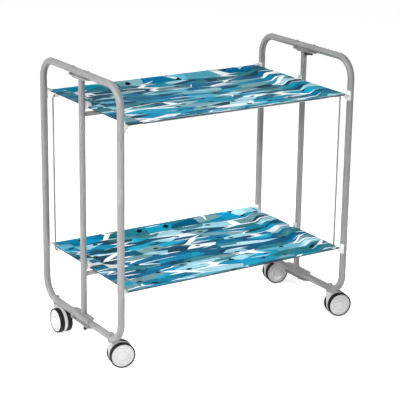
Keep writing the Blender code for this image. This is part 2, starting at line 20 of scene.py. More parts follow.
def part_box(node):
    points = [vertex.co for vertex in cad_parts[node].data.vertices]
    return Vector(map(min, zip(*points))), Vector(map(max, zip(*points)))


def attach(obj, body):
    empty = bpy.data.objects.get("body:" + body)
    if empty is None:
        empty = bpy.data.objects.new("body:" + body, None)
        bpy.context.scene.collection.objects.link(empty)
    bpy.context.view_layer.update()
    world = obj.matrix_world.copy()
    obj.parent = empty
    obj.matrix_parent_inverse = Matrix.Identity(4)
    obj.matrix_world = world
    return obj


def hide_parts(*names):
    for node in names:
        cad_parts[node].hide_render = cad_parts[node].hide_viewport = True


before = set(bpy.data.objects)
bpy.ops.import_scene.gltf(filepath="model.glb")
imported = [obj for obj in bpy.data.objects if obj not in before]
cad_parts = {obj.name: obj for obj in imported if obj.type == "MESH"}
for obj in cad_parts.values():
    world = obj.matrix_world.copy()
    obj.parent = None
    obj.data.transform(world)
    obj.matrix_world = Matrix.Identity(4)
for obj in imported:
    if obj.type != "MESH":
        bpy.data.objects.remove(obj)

LOG = logging.getLogger("trolley")
MERGE = 0.000001
VECTORS = "VectorMath"
WHITE = (1.0, 1.0, 1.0, 1.0)
# The rounded end of a tube or rod reaches this far past its first ring, if it is thick enough.
ROUND_END = 0.0004
ROUND_SHARE = 0.2
# Facets round a form, from the thickest to the thinnest.
POST_FACETS, TUBE_FACETS, PIN_FACETS, STUB_FACETS, ROD_FACETS = 32, 28, 24, 20, 16
# Edges flatter than this many degrees are shaded smooth, or aren't rounded.
CUT_ANGLE, TURNED_ANGLE = 40.0, 50.0
# Spans that nearly all values of a noise texture lie in, and how far they reach from 0.5.
NOISE_WIDE, NOISE_NARROW, NOISE_REACH = (0.3, 0.7), (0.35, 0.65), 0.25
X_AXIS = Vector((1.0, 0.0, 0.0))
Y_AXIS = Vector((0.0, 1.0, 0.0))
Z_AXIS = Vector((0.0, 0.0, 1.0))


class Place(Enum):
    """A place on the trolley that is part of piece names."""

    @property
    def label(self) -> str:
        """The place's name in small letters."""
        return self.name.lower()


class Side(Place):
    """The two ends of the trolley, with the sign of X."""

    LEFT = -1
    RIGHT = 1


class End(Place):
    """Front and rear, with the sign of Y."""

    FRONT = -1
    REAR = 1


class Level(Place):
    """The two trays, with the height of each rim's top."""

    UPPER = 0.631
    LOWER = 0.216


@dataclass(frozen=True)
class Plan:
    """Sizes that more than one sub-assembly needs, the same as in the solids."""

    half_x: float = 0.338
    half_y: float = 0.199
    top_z: float = 0.7175
    low_z: float = 0.0795
    bend: float = 0.052
    tube: float = 0.009
    wall: float = 0.0015
    gap: float = 0.0003
    pivot_y: float = 0.038
    pivot_tail: float = 0.010
    post_x: float = 0.334
    post: float = 0.008
    tray_x: float = 0.3195
    tray_y: float = 0.207
    sheet: float = 0.003
    castor_y: float = 0.147
    centre_x: float = 0.0

    def spot(self, x: float, y: float, z: float) -> Vector:
        """Give a point in the row's frame from one measured from the trolley's middle."""
        return Vector((x + self.centre_x, y, z))


def linear(code: str) -> tuple[float, float, float, float]:
    """Turn an sRGB hex value into a linear colour.

    Args:
        code: Six hex digits, with or without a leading mark.

    Returns:
        Red, green, blue and an alpha of one.
    """
    digits = code.lstrip("#")
    parts = [int(digits[index:index + 2], 16) / 255.0 for index in (0, 2, 4)]
    light = [part / 12.92 if part <= 0.04045 else ((part + 0.055) / 1.055) ** 2.4
             for part in parts]
    return (light[0], light[1], light[2], 1.0)


class Nodes:
    """Writes the node tree of a material or of the world."""

    def __init__(self, owner: Material | World) -> None:
        """Take over the owner's node tree and empty it.

        Args:
            owner: The material or world.
        """
        owner.use_nodes = True
        self.tree = owner.node_tree
        self.tree.nodes.clear()

    def add(self, kind: str, sockets: dict[str | int, Any] | None = None,
            **settings: str) -> Node:
        """Add a node with its values, links and settings.

        Args:
            kind: The node's type, without the leading ShaderNode.
            sockets: Values, or output sockets to link, by input name or number.
            **settings: Attributes of the node.

        Returns:
            The new node.
        """
        made = self.tree.nodes.new(f"ShaderNode{kind}")
        for key, setting in settings.items():
            setattr(made, key, setting)
        for key, value in (sockets or {}).items():
            if isinstance(value, NodeSocket):
                self.tree.links.new(value, made.inputs[key])
            else:
                made.inputs[key].default_value = value
        return made

    def reckon(self, operation: str, *values: Any, kind: str = "Math") -> NodeSocket:
        """Add a maths node.

        Args:
            operation: What it does.
            *values: Its inputs in order, each a value or an output socket.
            kind: Math for numbers, VectorMath for vectors.

        Returns:
            The result.
        """
        return self.add(kind, dict(enumerate(values)), operation=operation).outputs[0]

    def noise(self, vector: NodeSocket, size: float, detail: float,
              roughness: float = 0.5) -> Node:
        """Add a noise texture.

        Args:
            vector: The coordinates that it reads.
            size: Size of its lumps in metres.
            detail: How many finer layers lie over them.
            roughness: How strong the finer layers are.

        Returns:
            The noise texture node.
        """
        return self.add("TexNoise", {"Vector": vector, "Scale": 1.0 / size, "Detail": detail,
                                     "Roughness": roughness})

    def remap(self, value: NodeSocket, source: tuple[float, float],
              target: tuple[float, float], interpolation: str = "LINEAR") -> NodeSocket:
        """Stretch a value from one span to another.

        Args:
            value: The value.
            source: The span it comes from.
            target: The span it is brought to.
            interpolation: How it runs from end to end.

        Returns:
            The stretched value.
        """
        made = self.add("MapRange", {"Value": value, "From Min": source[0],
                                     "From Max": source[1], "To Min": target[0],
                                     "To Max": target[1]}, interpolation_type=interpolation)
        return made.outputs["Result"]

    def blend(self, share: NodeSocket, first: Any, second: Any) -> NodeSocket:
        """Mix two colours, each a value or an output socket.

        Args:
            share: How much of the second colour, from 0 to 1.
            first: The first colour.
            second: The second colour.

        Returns:
            The mixed colour.
        """
        return self.add("Mix", {0: share, 6: first, 7: second}, data_type="RGBA").outputs[2]

    def pick_colour(self, value: NodeSocket, stops: Sequence[tuple[float, str]]) -> NodeSocket:
        """Pick one colour from a list, without blending.

        Args:
            value: The number that picks, from 0 to 1.
            stops: Where each colour begins and its hex value, in rising order.

        Returns:
            The colour.
        """
        made = self.add("ValToRGB", {"Fac": value})
        ramp = made.color_ramp
        ramp.interpolation = "CONSTANT"
        while len(ramp.elements) < len(stops):
            ramp.elements.new(1.0)
        for element, (place, code) in zip(ramp.elements, stops):
            element.position = place
            element.color = linear(code)
        return made.outputs["Color"]

    def close_surface(self, noise: Node, rough: tuple[float, float],
                      relief: tuple[float, float], sockets: dict[str | int, Any]) -> None:
        """Add a material's shader, with roughness and relief that follow a noise texture.

        Args:
            noise: The noise texture.
            rough: Lowest and highest roughness.
            relief: Strength of the relief and its depth in metres.
            sockets: The shader's other values and links.
        """
        value = noise.outputs["Fac"]
        bump = self.add("Bump", {"Height": value, "Strength": relief[0], "Distance": relief[1]})
        shader = self.add("BsdfPrincipled",
                          {"Roughness": self.remap(value, NOISE_WIDE, rough),
                           "Normal": bump.outputs["Normal"], **sockets})
        self.add("OutputMaterial", {"Surface": shader.outputs["BSDF"]})


@dataclass(frozen=True)
class Finish:
    """A one-colour surface with grain, slight unevenness and a coat.

    Grain and cloud are real sizes in metres; a texture's scale is one over them.
    """

    name: str
    slot: str
    pale: str
    deep: str
    roughness: float
    rough_span: float
    metallic: float
    grain: float
    bump: float
    cloud: float = 0.09
    coat: float = 0.0
    ior: float = 1.5
    stretch: tuple[float, float, float] = (1.0, 1.0, 1.0)
    grain_rough: float = 0.6
    bump_strength: float = 0.5
    coat_rough: float = 0.12

    def build(self) -> Material:
        """Make the material.

        Returns:
            The new material.
        """
        material = bpy.data.materials.new(self.name)
        nodes = Nodes(material)
        place = nodes.add("TexCoord").outputs["Object"]
        drawn = nodes.add("Mapping", {"Vector": place, "Scale": self.stretch}).outputs["Vector"]
        cloud = nodes.noise(place, self.cloud, 3.0).outputs["Fac"]
        share = nodes.remap(cloud, NOISE_NARROW, (0.0, 1.0))
        rough = (self.roughness - self.rough_span, self.roughness + self.rough_span)
        nodes.close_surface(
            nodes.noise(drawn, self.grain, 2.0, self.grain_rough), rough,
            (self.bump_strength, self.bump),
            {"Base Color": nodes.blend(share, linear(self.deep), linear(self.pale)),
             "Metallic": self.metallic, "IOR": self.ior, "Coat Weight": self.coat,
             "Coat Roughness": self.coat_rough})
        return material


@dataclass(frozen=True)
class TrayPrint:
    """High-pressure laminate with a print: long leaves along the tray, cut into facets.

    A leaf is about 150 by 32 mm, a facet about 66 by 24 mm.  The sheet has a satin face with
    a slight unevenness from the press.  Sizes are in metres and turns in degrees.  A value
    that ends in from is the random number over which a cell gets its facet or dart.
    """

    name: str
    slot: str
    start: tuple[float, float, float]
    leaf: tuple[float, float] = (0.150, 0.032)
    facet: tuple[float, float] = (0.066, 0.024)
    wedge: tuple[float, float] = (0.060, 0.050)
    dart: tuple[float, float] = (0.070, 0.040)
    leaf_turn: float = 2.0
    facet_turn: float = -3.0
    wedge_turn: float = 24.0
    facet_from: float = 0.60
    dart_from: float = 0.55
    dart_reach: float = 0.15
    blade_swell: float = 1.0 / 11.0
    blade_span: tuple[float, float] = (0.50, 0.72)
    blade_width: float = 0.10
    wedge_shade: float = 0.72
    wedge_steps: float = 3.0
    sway: float = 0.260
    sway_depth: tuple[float, float, float] = (0.006, 0.013, 0.0)
    press: float = 0.00625
    rough: tuple[float, float] = (0.46, 0.55)
    relief: tuple[float, float] = (0.25, 0.0002)
    gloss: float = 0.02
    ground: tuple[tuple[float, str], ...] = (
        (0.0, "#056591"), (0.14, "#0c8cb5"), (0.27, "#63bad1"), (0.35, "#257482"),
        (0.45, "#045173"), (0.54, "#1499ba"), (0.64, "#69959c"), (0.72, "#aad9e5"),
        (0.79, "#0b7797"), (0.88, "#82b6c2"), (0.94, "#063f54"))
    overlay: tuple[tuple[float, str], ...] = (
        (0.0, "#9dd4e2"), (0.15, "#06709c"), (0.30, "#3b7f8c"), (0.43, "#eef5f6"),
        (0.51, "#045270"), (0.64, "#77a0a5"), (0.76, "#18a1c4"), (0.89, "#094256"))
    white: str = "#f4f8f7"
    ink: str = "#03121a"

    def build(self) -> Material:
        """Make the material.

        Returns:
            The new material.
        """
        material = bpy.data.materials.new(self.name)
        nodes = Nodes(material)
        flat = self._swayed(nodes)
        colour = self._facets(nodes, flat)
        colour = self._ribbons(nodes, flat, colour)
        colour = self._darts(nodes, flat, colour)
        nodes.close_surface(nodes.noise(flat, self.press, 2.0), self.rough, self.relief,
                            {"Base Color": colour, "Specular IOR Level": self.gloss})
        return material

    def _swayed(self, nodes: Nodes) -> NodeSocket:
        """Lay the print flat on the sheet and let it sway.

        Args:
            nodes: The material's nodes.

        Returns:
            The vector that the print's layers read, in metres.
        """
        place = nodes.add("TexCoord").outputs["Object"]
        laid = nodes.reckon("MULTIPLY", place, (1.0, 1.0, 0.0), kind=VECTORS)
        moved = nodes.reckon("ADD", laid, self.start, kind=VECTORS)
        noise = nodes.noise(moved, self.sway, 1.0).outputs["Color"]
        middle = nodes.reckon("SUBTRACT", noise, (0.5, 0.5, 0.5), kind=VECTORS)
        full = tuple(part / NOISE_REACH for part in self.sway_depth)
        depth = nodes.reckon("MULTIPLY", middle, full, kind=VECTORS)
        return nodes.reckon("ADD", moved, depth, kind=VECTORS)

    @staticmethod
    def _cells(nodes: Nodes, flat: NodeSocket, size: tuple[float, float], turn: float,
               **settings: str) -> Node:
        """Add a cell texture with cells of a real size.

        Args:
            nodes: The material's nodes.
            flat: The print's coordinates.
            size: Length and width of a cell in metres.
            turn: How far the cells are turned, in degrees.
            **settings: Settings of the cell texture.

        Returns:
            The cell texture node.
        """
        turned = nodes.add("VectorRotate", {"Vector": flat, "Angle": math.radians(turn)},
                           rotation_type="Z_AXIS")
        scaled = nodes.reckon("MULTIPLY", turned.outputs["Vector"],
                              (1.0 / size[0], 1.0 / size[1], 1.0), kind=VECTORS)
        return nodes.add("TexVoronoi", {"Vector": scaled, "Scale": 1.0},
                         voronoi_dimensions="2D", **settings)

    @staticmethod
    def _chances(nodes: Nodes, cells: Node) -> Any:
        """Give three random numbers for each cell, by the names Red, Green and Blue."""
        return nodes.add("SeparateColor", {"Color": cells.outputs["Color"]}).outputs

    def _facets(self, nodes: Nodes, flat: NodeSocket) -> NodeSocket:
        """Lay long leaves of the ground colours and smaller facets over some of them.

        Args:
            nodes: The material's nodes.
            flat: The print's coordinates.

        Returns:
            The colour of leaves and facets.
        """
        leaf = self._chances(nodes, self._cells(nodes, flat, self.leaf, self.leaf_turn))
        facet = self._chances(nodes, self._cells(nodes, flat, self.facet, self.facet_turn))
        share = nodes.reckon("GREATER_THAN", facet["Red"], self.facet_from)
        return nodes.blend(share, nodes.pick_colour(leaf["Red"], self.ground),
                           nodes.pick_colour(facet["Green"], self.overlay))

    def _ribbons(self, nodes: Nodes, flat: NodeSocket, colour: NodeSocket) -> NodeSocket:
        """Set white blades between some leaves and shade some wedges a step darker.

        Args:
            nodes: The material's nodes.
            flat: The print's coordinates.
            colour: The colour so far.

        Returns:
            The colour with blades and wedges.
        """
        ribbon = self._cells(nodes, flat, self.leaf, self.leaf_turn, feature="DISTANCE_TO_EDGE")
        swell = nodes.noise(flat, self.blade_swell, 0.0).outputs["Fac"]
        width = nodes.remap(swell, self.blade_span, (0.0, self.blade_width))
        inside = nodes.reckon("LESS_THAN", ribbon.outputs["Distance"], width)
        wedge = self._chances(nodes, self._cells(nodes, flat, self.wedge, self.wedge_turn))
        dim = nodes.add("MapRange", {"Value": wedge["Green"], "To Min": self.wedge_shade,
                                     "To Max": 1.0, "Steps": self.wedge_steps},
                        interpolation_type="STEPPED")
        shaded = nodes.add(VECTORS, {0: colour, "Scale": dim.outputs["Result"]},
                           operation="SCALE")
        return nodes.blend(inside, shaded.outputs["Vector"], linear(self.white))

    def _darts(self, nodes: Nodes, flat: NodeSocket, colour: NodeSocket) -> NodeSocket:
        """Scatter small dark darts: narrow diamonds in a few of the cells.

        Args:
            nodes: The material's nodes.
            flat: The print's coordinates.
            colour: The colour so far.

        Returns:
            The colour with the darts.
        """
        dart = self._cells(nodes, flat, self.dart, self.facet_turn, distance="MANHATTAN")
        near = nodes.reckon("LESS_THAN", dart.outputs["Distance"], self.dart_reach)
        some = nodes.reckon("GREATER_THAN", self._chances(nodes, dart)["Blue"], self.dart_from)
        both = nodes.reckon("MULTIPLY", near, some)
        return nodes.blend(both, colour, linear(self.ink))


class Look(Enum):
    """Every finish on the trolley."""

    # Steel tube under a silver-grey powder coat: a soft sheen with fine orange peel.
    LACQUER = Finish("silver_powder_coat", "frame_lacquer", "#8a898a", "#828182",
                     0.42, 0.05, 0.20, 0.0016, 0.00006)
    # Injection moulded pale grey plastic: even, slightly soft, with a fine spark-erosion grain.
    PLASTIC = Finish("moulded_pale_plastic", "rest_plastic", "#dcdedd", "#d4d6d5",
                     0.42, 0.05, 0.0, 0.0009, 0.00004, ior=1.53)
    # The castors' plastic: the same kind, a little glossier.
    CASTOR = Finish("castor_shell_plastic", "castor_plastic", "#c9cac8", "#c1c2c0",
                    0.34, 0.05, 0.0, 0.0009, 0.00003, coat=0.1, ior=1.53)
    # Drawn steel wire: fine lines along its length, drawn coarser than real so they show.
    WIRE = Finish("drawn_steel_wire", "steel_wire", "#8d8c8b", "#747372",
                  0.36, 0.08, 0.9, 0.0008, 0.00004, stretch=(1.0, 1.0, 0.06))
    # Zinc plated pins: bright, slightly cloudy.
    ZINC = Finish("zinc_plated_steel", "pivot_steel", "#a3a2a0", "#8f8e8c",
                  0.32, 0.07, 0.85, 0.0012, 0.00003, cloud=0.008)
    # Nuts: blackened steel. The same dark finish colours the strip that paints shadow under the
    # right top joint.
    SPRING = Finish("blackened_spring_steel", "pivot_steel", "#1d1c1e", "#161517",
                    0.5, 0.06, 0.3, 0.001, 0.00003, cloud=0.01)
    # Rubber tyre: matt black with a dusty grain.
    RUBBER = Finish("tyre_rubber_black", "tyre_rubber", "#0b0b0b", "#070707",
                    0.68, 0.08, 0.0, 0.0011, 0.00008, cloud=0.02, ior=1.32)
    # Cut edge of the laminate: dark brown-black phenolic core.
    EDGE = Finish("laminate_core_edge", "tray_laminate", "#2d3236", "#1f2427",
                  0.5, 0.08, 0.0, 0.0007, 0.00004, cloud=0.02, stretch=(0.1, 0.1, 1.0))
    # Underside of the trays: plain balancing laminate, light grey and matt.
    BACK = Finish("laminate_back", "tray_laminate", "#cfd3d4", "#c5cacb",
                  0.5, 0.06, 0.0, 0.0014, 0.00005)
    # The printed face, laid out differently on each tray.
    PRINT_UPPER = TrayPrint("tray_print_upper", "tray_laminate", (2.41, 5.83, 0.0))
    PRINT_LOWER = TrayPrint("tray_print_lower", "tray_laminate", (9.24, 2.36, 0.0))


class Workshop:
    """Keeps the finishes and turns edited meshes into pieces of the trolley."""

    def __init__(self) -> None:
        """Make every finish once."""
        self.materials = {look: look.value.build() for look in Look}
        self.count = 0

    def deliver(self, name: str, work: BMesh, look: Look, body: str, nodes: Sequence[str] = (),
                angle: float = 35.0, extra: Sequence[Look] = ()) -> Object:
        """Finish a piece: shade it, dress it, and let it ride on its body.

        Args:
            name: The piece's name.
            work: The edited mesh, which is freed here.
            look: The finish of its first slot.
            body: The body that carries it.
            nodes: The solids that it stands for.
            angle: Edges sharper than this many degrees stay sharp.
            extra: Finishes of further slots.

        Returns:
            The finished object.
        """
        mesh = bpy.data.meshes.new(name)
        work.to_mesh(mesh)
        work.free()
        for face in mesh.polygons:
            face.use_smooth = True
        mesh.set_sharp_from_angle(angle=math.radians(angle))
        for finish in (look, *extra):
            mesh.materials.append(self.materials[finish])
        piece = bpy.data.objects.new(name, mesh)
        bpy.context.scene.collection.objects.link(piece)
        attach(piece, body)
        if nodes:
            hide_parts(*nodes)
        self.count += 1
        LOG.info("%s rides on %s, %d faces", name, body, len(mesh.polygons))
        return piece


def arc(centre: tuple[float, float], radius: float, start: float, stop: float,
        steps: int) -> list[tuple[float, float]]:
    """List the points of an arc.

    Args:
        centre: Its centre.
        radius: Its radius.
        start: First angle in degrees.
        stop: Last angle in degrees.
        steps: Number of chords.

    Returns:
        The points, both ends included.
    """
    angles = [math.radians(start + (stop - start) * index / steps) for index in range(steps + 1)]
    return [(centre[0] + radius * math.cos(angle), centre[1] + radius * math.sin(angle))
            for angle in angles]


def turn_profile(work: BMesh, profile: Iterable[tuple[float, float]], origin: Vector,
                 axis: Vector, segments: int = 32, closed: bool = False) -> None:
    """Spin a profile into a round form.

    Args:
        work: The mesh that receives it.
        profile: Radius and distance along the axis of each point.
        origin: The point on the axis from which distances count.
        axis: The axis.
        segments: Facets round the form.
        closed: Whether the profile is a loop, as for a ring.
    """
    along = axis.normalized()
    aside = along.orthogonal().normalized()
    points = [work.verts.new(origin + aside * radius + along * far) for radius, far in profile]
    edges = [work.edges.new(pair) for pair in zip(points, points[1:])]
    if closed:
        edges.append(work.edges.new((points[-1], points[0])))
    bmesh.ops.spin(work, geom=[*points, *edges], cent=origin, axis=along, angle=math.tau,
                   steps=segments, use_merge=True)
    bmesh.ops.remove_doubles(work, verts=work.verts[:], dist=MERGE)
    bmesh.ops.recalc_face_normals(work, faces=work.faces[:])


def slab(work: BMesh, outline: Iterable[Vector], thickness: Vector) -> None:
    """Grow a closed slab from a flat outline.

    Args:
        work: The mesh that receives it.
        outline: The outline's corners, in order.
        thickness: How far and which way it grows.
    """
    points = [work.verts.new(corner) for corner in outline]
    face = work.faces.new(points)
    grown = bmesh.ops.extrude_face_region(work, geom=[face])["geom"]
    fresh = [item for item in grown if isinstance(item, BMVert)]
    bmesh.ops.translate(work, verts=fresh, vec=thickness)
    bmesh.ops.recalc_face_normals(work, faces=work.faces[:])


def soften(work: BMesh, width: float, segments: int = 2, limit: float = 30.0) -> None:
    """Round the sharp edges of a mesh.

    Args:
        work: The mesh.
        width: Width of the rounding.
        segments: Facets of the rounding.
        limit: Edges sharper than this many degrees are rounded.
    """
    sharp = [edge for edge in work.edges if len(edge.link_faces) == 2
             and edge.calc_face_angle(0.0) > math.radians(limit)]
    bmesh.ops.bevel(work, geom=sharp, offset=width, offset_type="OFFSET", segments=segments,
                    profile=0.5, affect="EDGES", clamp_overlap=True, material=-1)


def ring_edges(verts: Iterable[BMVert]) -> list[BMEdge]:
    """List the edges that join the given vertices to each other.

    Args:
        verts: The vertices of a ring.

    Returns:
        The ring's edges.
    """
    chosen = dict.fromkeys(verts)
    found = dict.fromkeys(edge for vert in chosen for edge in vert.link_edges)
    return [edge for edge in found if all(end in chosen for end in edge.verts)]


@dataclass
class TubeRun:
    """Draws a round tube or rod: straight runs and bends, one after the other."""

    work: BMesh
    at: Vector
    heading: Vector
    radius: float
    segments: int = TUBE_FACETS
    bore: float = 0.0
    ring: list[BMVert] = field(default_factory=list)

    def __post_init__(self) -> None:
        """Start with a ring, and close or hollow the first end."""
        turn = Z_AXIS.rotation_difference(self.heading).to_matrix().to_4x4()
        made = bmesh.ops.create_circle(self.work, cap_ends=False, radius=self.radius,
                                       segments=self.segments,
                                       matrix=Matrix.Translation(self.at) @ turn)
        first = list(made["verts"])
        self.ring = first
        self._end(-self.heading)
        self.ring = first

    def straight(self, length: float) -> None:
        """Run straight on.

        Args:
            length: How far.
        """
        step = self.heading * length
        self.ring = self._grow(self.ring)
        bmesh.ops.translate(self.work, verts=self.ring, vec=step)
        self.at = self.at + step

    def bend(self, towards: Vector, radius: float, steps: int = 12) -> None:
        """Turn a right angle.

        Args:
            towards: The new heading.
            radius: Radius of the centre line.
            steps: Facets along the bend.
        """
        centre = self.at + towards * radius
        axis = self.heading.cross(towards)
        made = bmesh.ops.spin(self.work, geom=[*self.ring, *ring_edges(self.ring)], cent=centre,
                              axis=axis, angle=math.pi / 2, steps=steps)
        self.ring = [item for item in made["geom_last"] if isinstance(item, BMVert)]
        self.at = centre + self.heading * radius
        self.heading = towards

    def finish(self) -> None:
        """Close or hollow the last end and turn every face outwards."""
        self._end(self.heading)
        bmesh.ops.recalc_face_normals(self.work, faces=self.work.faces[:])

    def _grow(self, ring: list[BMVert]) -> list[BMVert]:
        """Extrude a ring in place and return the new one."""
        made = bmesh.ops.extrude_edge_only(self.work, edges=ring_edges(ring))["geom"]
        return [item for item in made if isinstance(item, BMVert)]

    def _shrink(self, share: float) -> None:
        """Narrow the ring about its centre."""
        bmesh.ops.scale(self.work, verts=self.ring, vec=(share, share, share),
                        space=Matrix.Translation(-self.at))

    def _end(self, outward: Vector) -> None:
        """Round the end's edge, then close it or sink a bore into it.

        Args:
            outward: The way out of this end.
        """
        chamfer = min(ROUND_END, self.radius * ROUND_SHARE)
        self.ring = self._grow(self.ring)
        bmesh.ops.translate(self.work, verts=self.ring, vec=outward * chamfer)
        self._shrink(1.0 - chamfer / self.radius)
        if self.bore:
            self.ring = self._grow(self.ring)
            self._shrink(self.bore / (self.radius - chamfer))
            self.ring = self._grow(self.ring)
            bmesh.ops.translate(self.work, verts=self.ring, vec=outward * -self.radius * 2)
        bmesh.ops.contextual_create(self.work, geom=ring_edges(self.ring))


def straight_tube(work: BMesh, start: Vector, heading: Vector, length: float, radius: float,
                  segments: int, bore: float = 0.0) -> None:
    """Draw one straight tube or rod.

    Args:
        work: The mesh that receives it.
        start: The middle of its first ring; the rounded end reaches past it.
        heading: Its direction.
        length: Length between its first and last ring.
        radius: Its radius.
        segments: Facets round it.
        bore: Radius of its bore, if it has one.
    """
    run = TubeRun(work, start, heading, radius, segments, bore)
    run.straight(length)
    run.finish()


@dataclass
class Assembly:
    """What every sub-assembly is made with."""

    shop: Workshop
    plan: Plan


@dataclass
class EndFrame(Assembly):
    """One end of the trolley: post, brackets, two bent half frames, pins and rests."""

    side: Side
    plate: float = 0.003
    plate_half_width: float = 0.0108
    plate_steps: int = 12
    top_plate: float = 0.049
    low_plate: float = 0.0505
    bridge: float = 0.0272
    neck: float = 0.006
    saddle: float = 0.004
    saddle_half: float = 0.031
    tab: float = 0.0013
    tab_span: tuple[float, float] = (0.0430, 0.0470)
    bolt: float = 0.0055
    bolt_head: float = 0.0055
    bolt_drop: float = 0.009
    bolt_y: float = -0.013
    sleeve: float = 0.0085
    sleeve_rise: float = 0.0125
    sleeve_drop: float = 0.010
    stem_bore: float = 0.0053
    pin: float = 0.003
    pin_head: float = 0.005
    pin_crown: float = 0.0012
    edge: float = 0.0007
    # How far joined shapes run into each other: a saddle or tab into its plate, a web into both.
    lap: float = 0.0006
    bite: float = 0.001
    saddle_slope: float = 0.004
    neck_top: float = -0.004
    neck_inset: float = 0.0005
    bolt_edge: float = 0.0006
    # Share of the radius, and depth below the top, of each point of a castor sleeve's crown.
    sleeve_crown: tuple[tuple[float, float], ...] = (
        (0.0, 0.0), (0.45, 0.0001), (0.75, 0.0006), (0.93, 0.0015), (1.0, 0.0030))
    sleeve_edge: float = 0.0006
    sleeve_roof: float = 0.0015
    # Share of the radius, and share of the height, of each point of a pin head's crown.
    pin_dome: tuple[tuple[float, float], ...] = (
        (0.0, 1.0), (0.45, 0.93), (0.8, 0.6), (0.97, 0.22), (1.0, 0.0))
    # Side view of the dark strip that paints the shadow under the right top joint's front leaf:
    # along the top tubes, then up from the plate's underside.
    latch: tuple[tuple[float, float], ...] = (
        (-0.009, 0.0004), (-0.009, -0.0090), (-0.016, -0.0090), (-0.034, -0.0052),
        (-0.0445, -0.0048), (-0.0458, -0.0034), (-0.0430, 0.0002))
    latch_thick: float = 0.0016
    latch_off: float = 0.0009
    latch_edge: float = 0.0003

    def build(self) -> None:
        """Build every piece of this end."""
        self._post()
        self._top_bracket()
        self._bottom_bracket()
        # Only the right top joint gets the dark strip that paints the shadow under its front
        # leaf.
        if self.side is Side.RIGHT:
            self._latch()
        for end in End:
            self._half_frame(end)
            self._pins(end)
            for level in Level:
                CornerRest(self.shop, self.plan, self.side, end, level).build()

    def _plates(self) -> tuple[float, float]:
        """Near and far face of a bracket plate, from the tube's centre line."""
        near = self.plan.tube + self.plan.gap
        return near, near + self.plate

    def _post(self) -> None:
        """Build the centre post, its edge turned in a little at both ends."""
        plan = self.plan
        _, far = self._plates()
        low = plan.low_z + far + plan.gap
        high = plan.top_z - far - self.saddle - plan.gap
        work = bmesh.new()
        straight_tube(work, plan.spot(self.side.value * plan.post_x, 0.0, low + ROUND_END),
                      Z_AXIS, high - low - 2 * ROUND_END, plan.post, POST_FACETS,
                      plan.post - plan.wall)
        self.shop.deliver(f"centre_post_{self.side.label}", work, Look.LACQUER, "posts",
                          [f"post_{self.side.label}"])

    def _rounded_plate(self, work: BMesh, half: float, centre: Vector, low: float,
                       high: float) -> None:
        """Add one plate with round ends to a bracket.

        Args:
            work: The bracket's mesh.
            half: Half of the plate's length.
            centre: The point on the tube's centre line.
            low: Underside, from the centre line.
            high: Upper side, from the centre line.
        """
        reach = half - self.plate_half_width
        flat = [*arc((0.0, reach), self.plate_half_width, 0.0, 180.0, self.plate_steps),
                *arc((0.0, -reach), self.plate_half_width, 180.0, 360.0, self.plate_steps)]
        slab(work, [centre + Vector((x, y, low)) for x, y in flat], Z_AXIS * (high - low))

    def _top_bracket(self) -> None:
        """Build the plate under the top tubes with the short tube between their ends."""
        plan = self.plan
        near, far = self._plates()
        centre = plan.spot(self.side.value * plan.half_x, 0.0, plan.top_z)
        work = bmesh.new()
        self._rounded_plate(work, self.top_plate, centre, -far, -near)
        long, deep, half = self.saddle_half, -far - self.saddle, plan.post
        top, brow, flat = self.lap - far, -far - self.bite, long - self.saddle_slope
        side_view = [(-long, top), (-long, brow), (-flat, deep), (flat, deep), (long, brow),
                     (long, top)]
        slab(work, [centre + Vector((-half, y, z)) for y, z in side_view], X_AXIS * half * 2)
        self._neck(work, centre, -near - self.bite, self.neck_top)
        soften(work, self.edge)
        self._bridge_tube(work, centre)
        self.shop.deliver(f"top_joint_{self.side.label}", work, Look.LACQUER, "posts",
                          [f"top_bracket_{self.side.label}"])

    def _bottom_bracket(self) -> None:
        """Build the fork that holds the low tubes, with the bolt into the post."""
        plan = self.plan
        near, far = self._plates()
        sign = self.side.value
        centre = plan.spot(sign * plan.half_x, 0.0, plan.low_z)
        work = bmesh.new()
        self._rounded_plate(work, self.low_plate, centre, near, far)
        self._rounded_plate(work, self.low_plate, centre, -far, -near)
        outer = plan.tube + plan.gap
        for end in End:
            span = [end.value * value for value in self.tab_span]
            wall = [(sign * outer, span[0]), (sign * (outer + self.tab), span[0]),
                    (sign * (outer + self.tab), span[1]), (sign * outer, span[1])]
            slab(work, [centre + Vector((x, y, self.lap - far)) for x, y in wall],
                 Z_AXIS * 2 * (far - self.lap))
        self._neck(work, centre, -near - self.bite, near + self.bite)
        soften(work, self.edge)
        self._bridge_tube(work, centre)
        self.shop.deliver(f"low_joint_{self.side.label}", work, Look.LACQUER, "posts",
                          [f"bottom_bracket_{self.side.label}"])
        self._bolt(centre + Vector((0.0, self.bolt_y, -far)))

    def _neck(self, work: BMesh, centre: Vector, low: float, high: float) -> None:
        """Add the web that joins the bridging tube to the plates.

        Args:
            work: The bracket's mesh.
            centre: The point on the tube's centre line.
            low: Lower end, from the centre line.
            high: Upper end, from the centre line.
        """
        half, long = self.neck, self.bridge - self.neck_inset
        foot = [(-half, low), (half, low), (half, high), (-half, high)]
        slab(work, [centre + Vector((x, -long, z)) for x, z in foot], Y_AXIS * long * 2)

    def _bridge_tube(self, work: BMesh, centre: Vector) -> None:
        """Add the short tube that fills the line between the two long tubes' ends.

        Args:
            work: The bracket's mesh.
            centre: The point on the tube's centre line.
        """
        straight_tube(work, centre - Y_AXIS * (self.bridge - ROUND_END), Y_AXIS,
                      2 * self.bridge - 2 * ROUND_END, self.plan.tube, TUBE_FACETS)

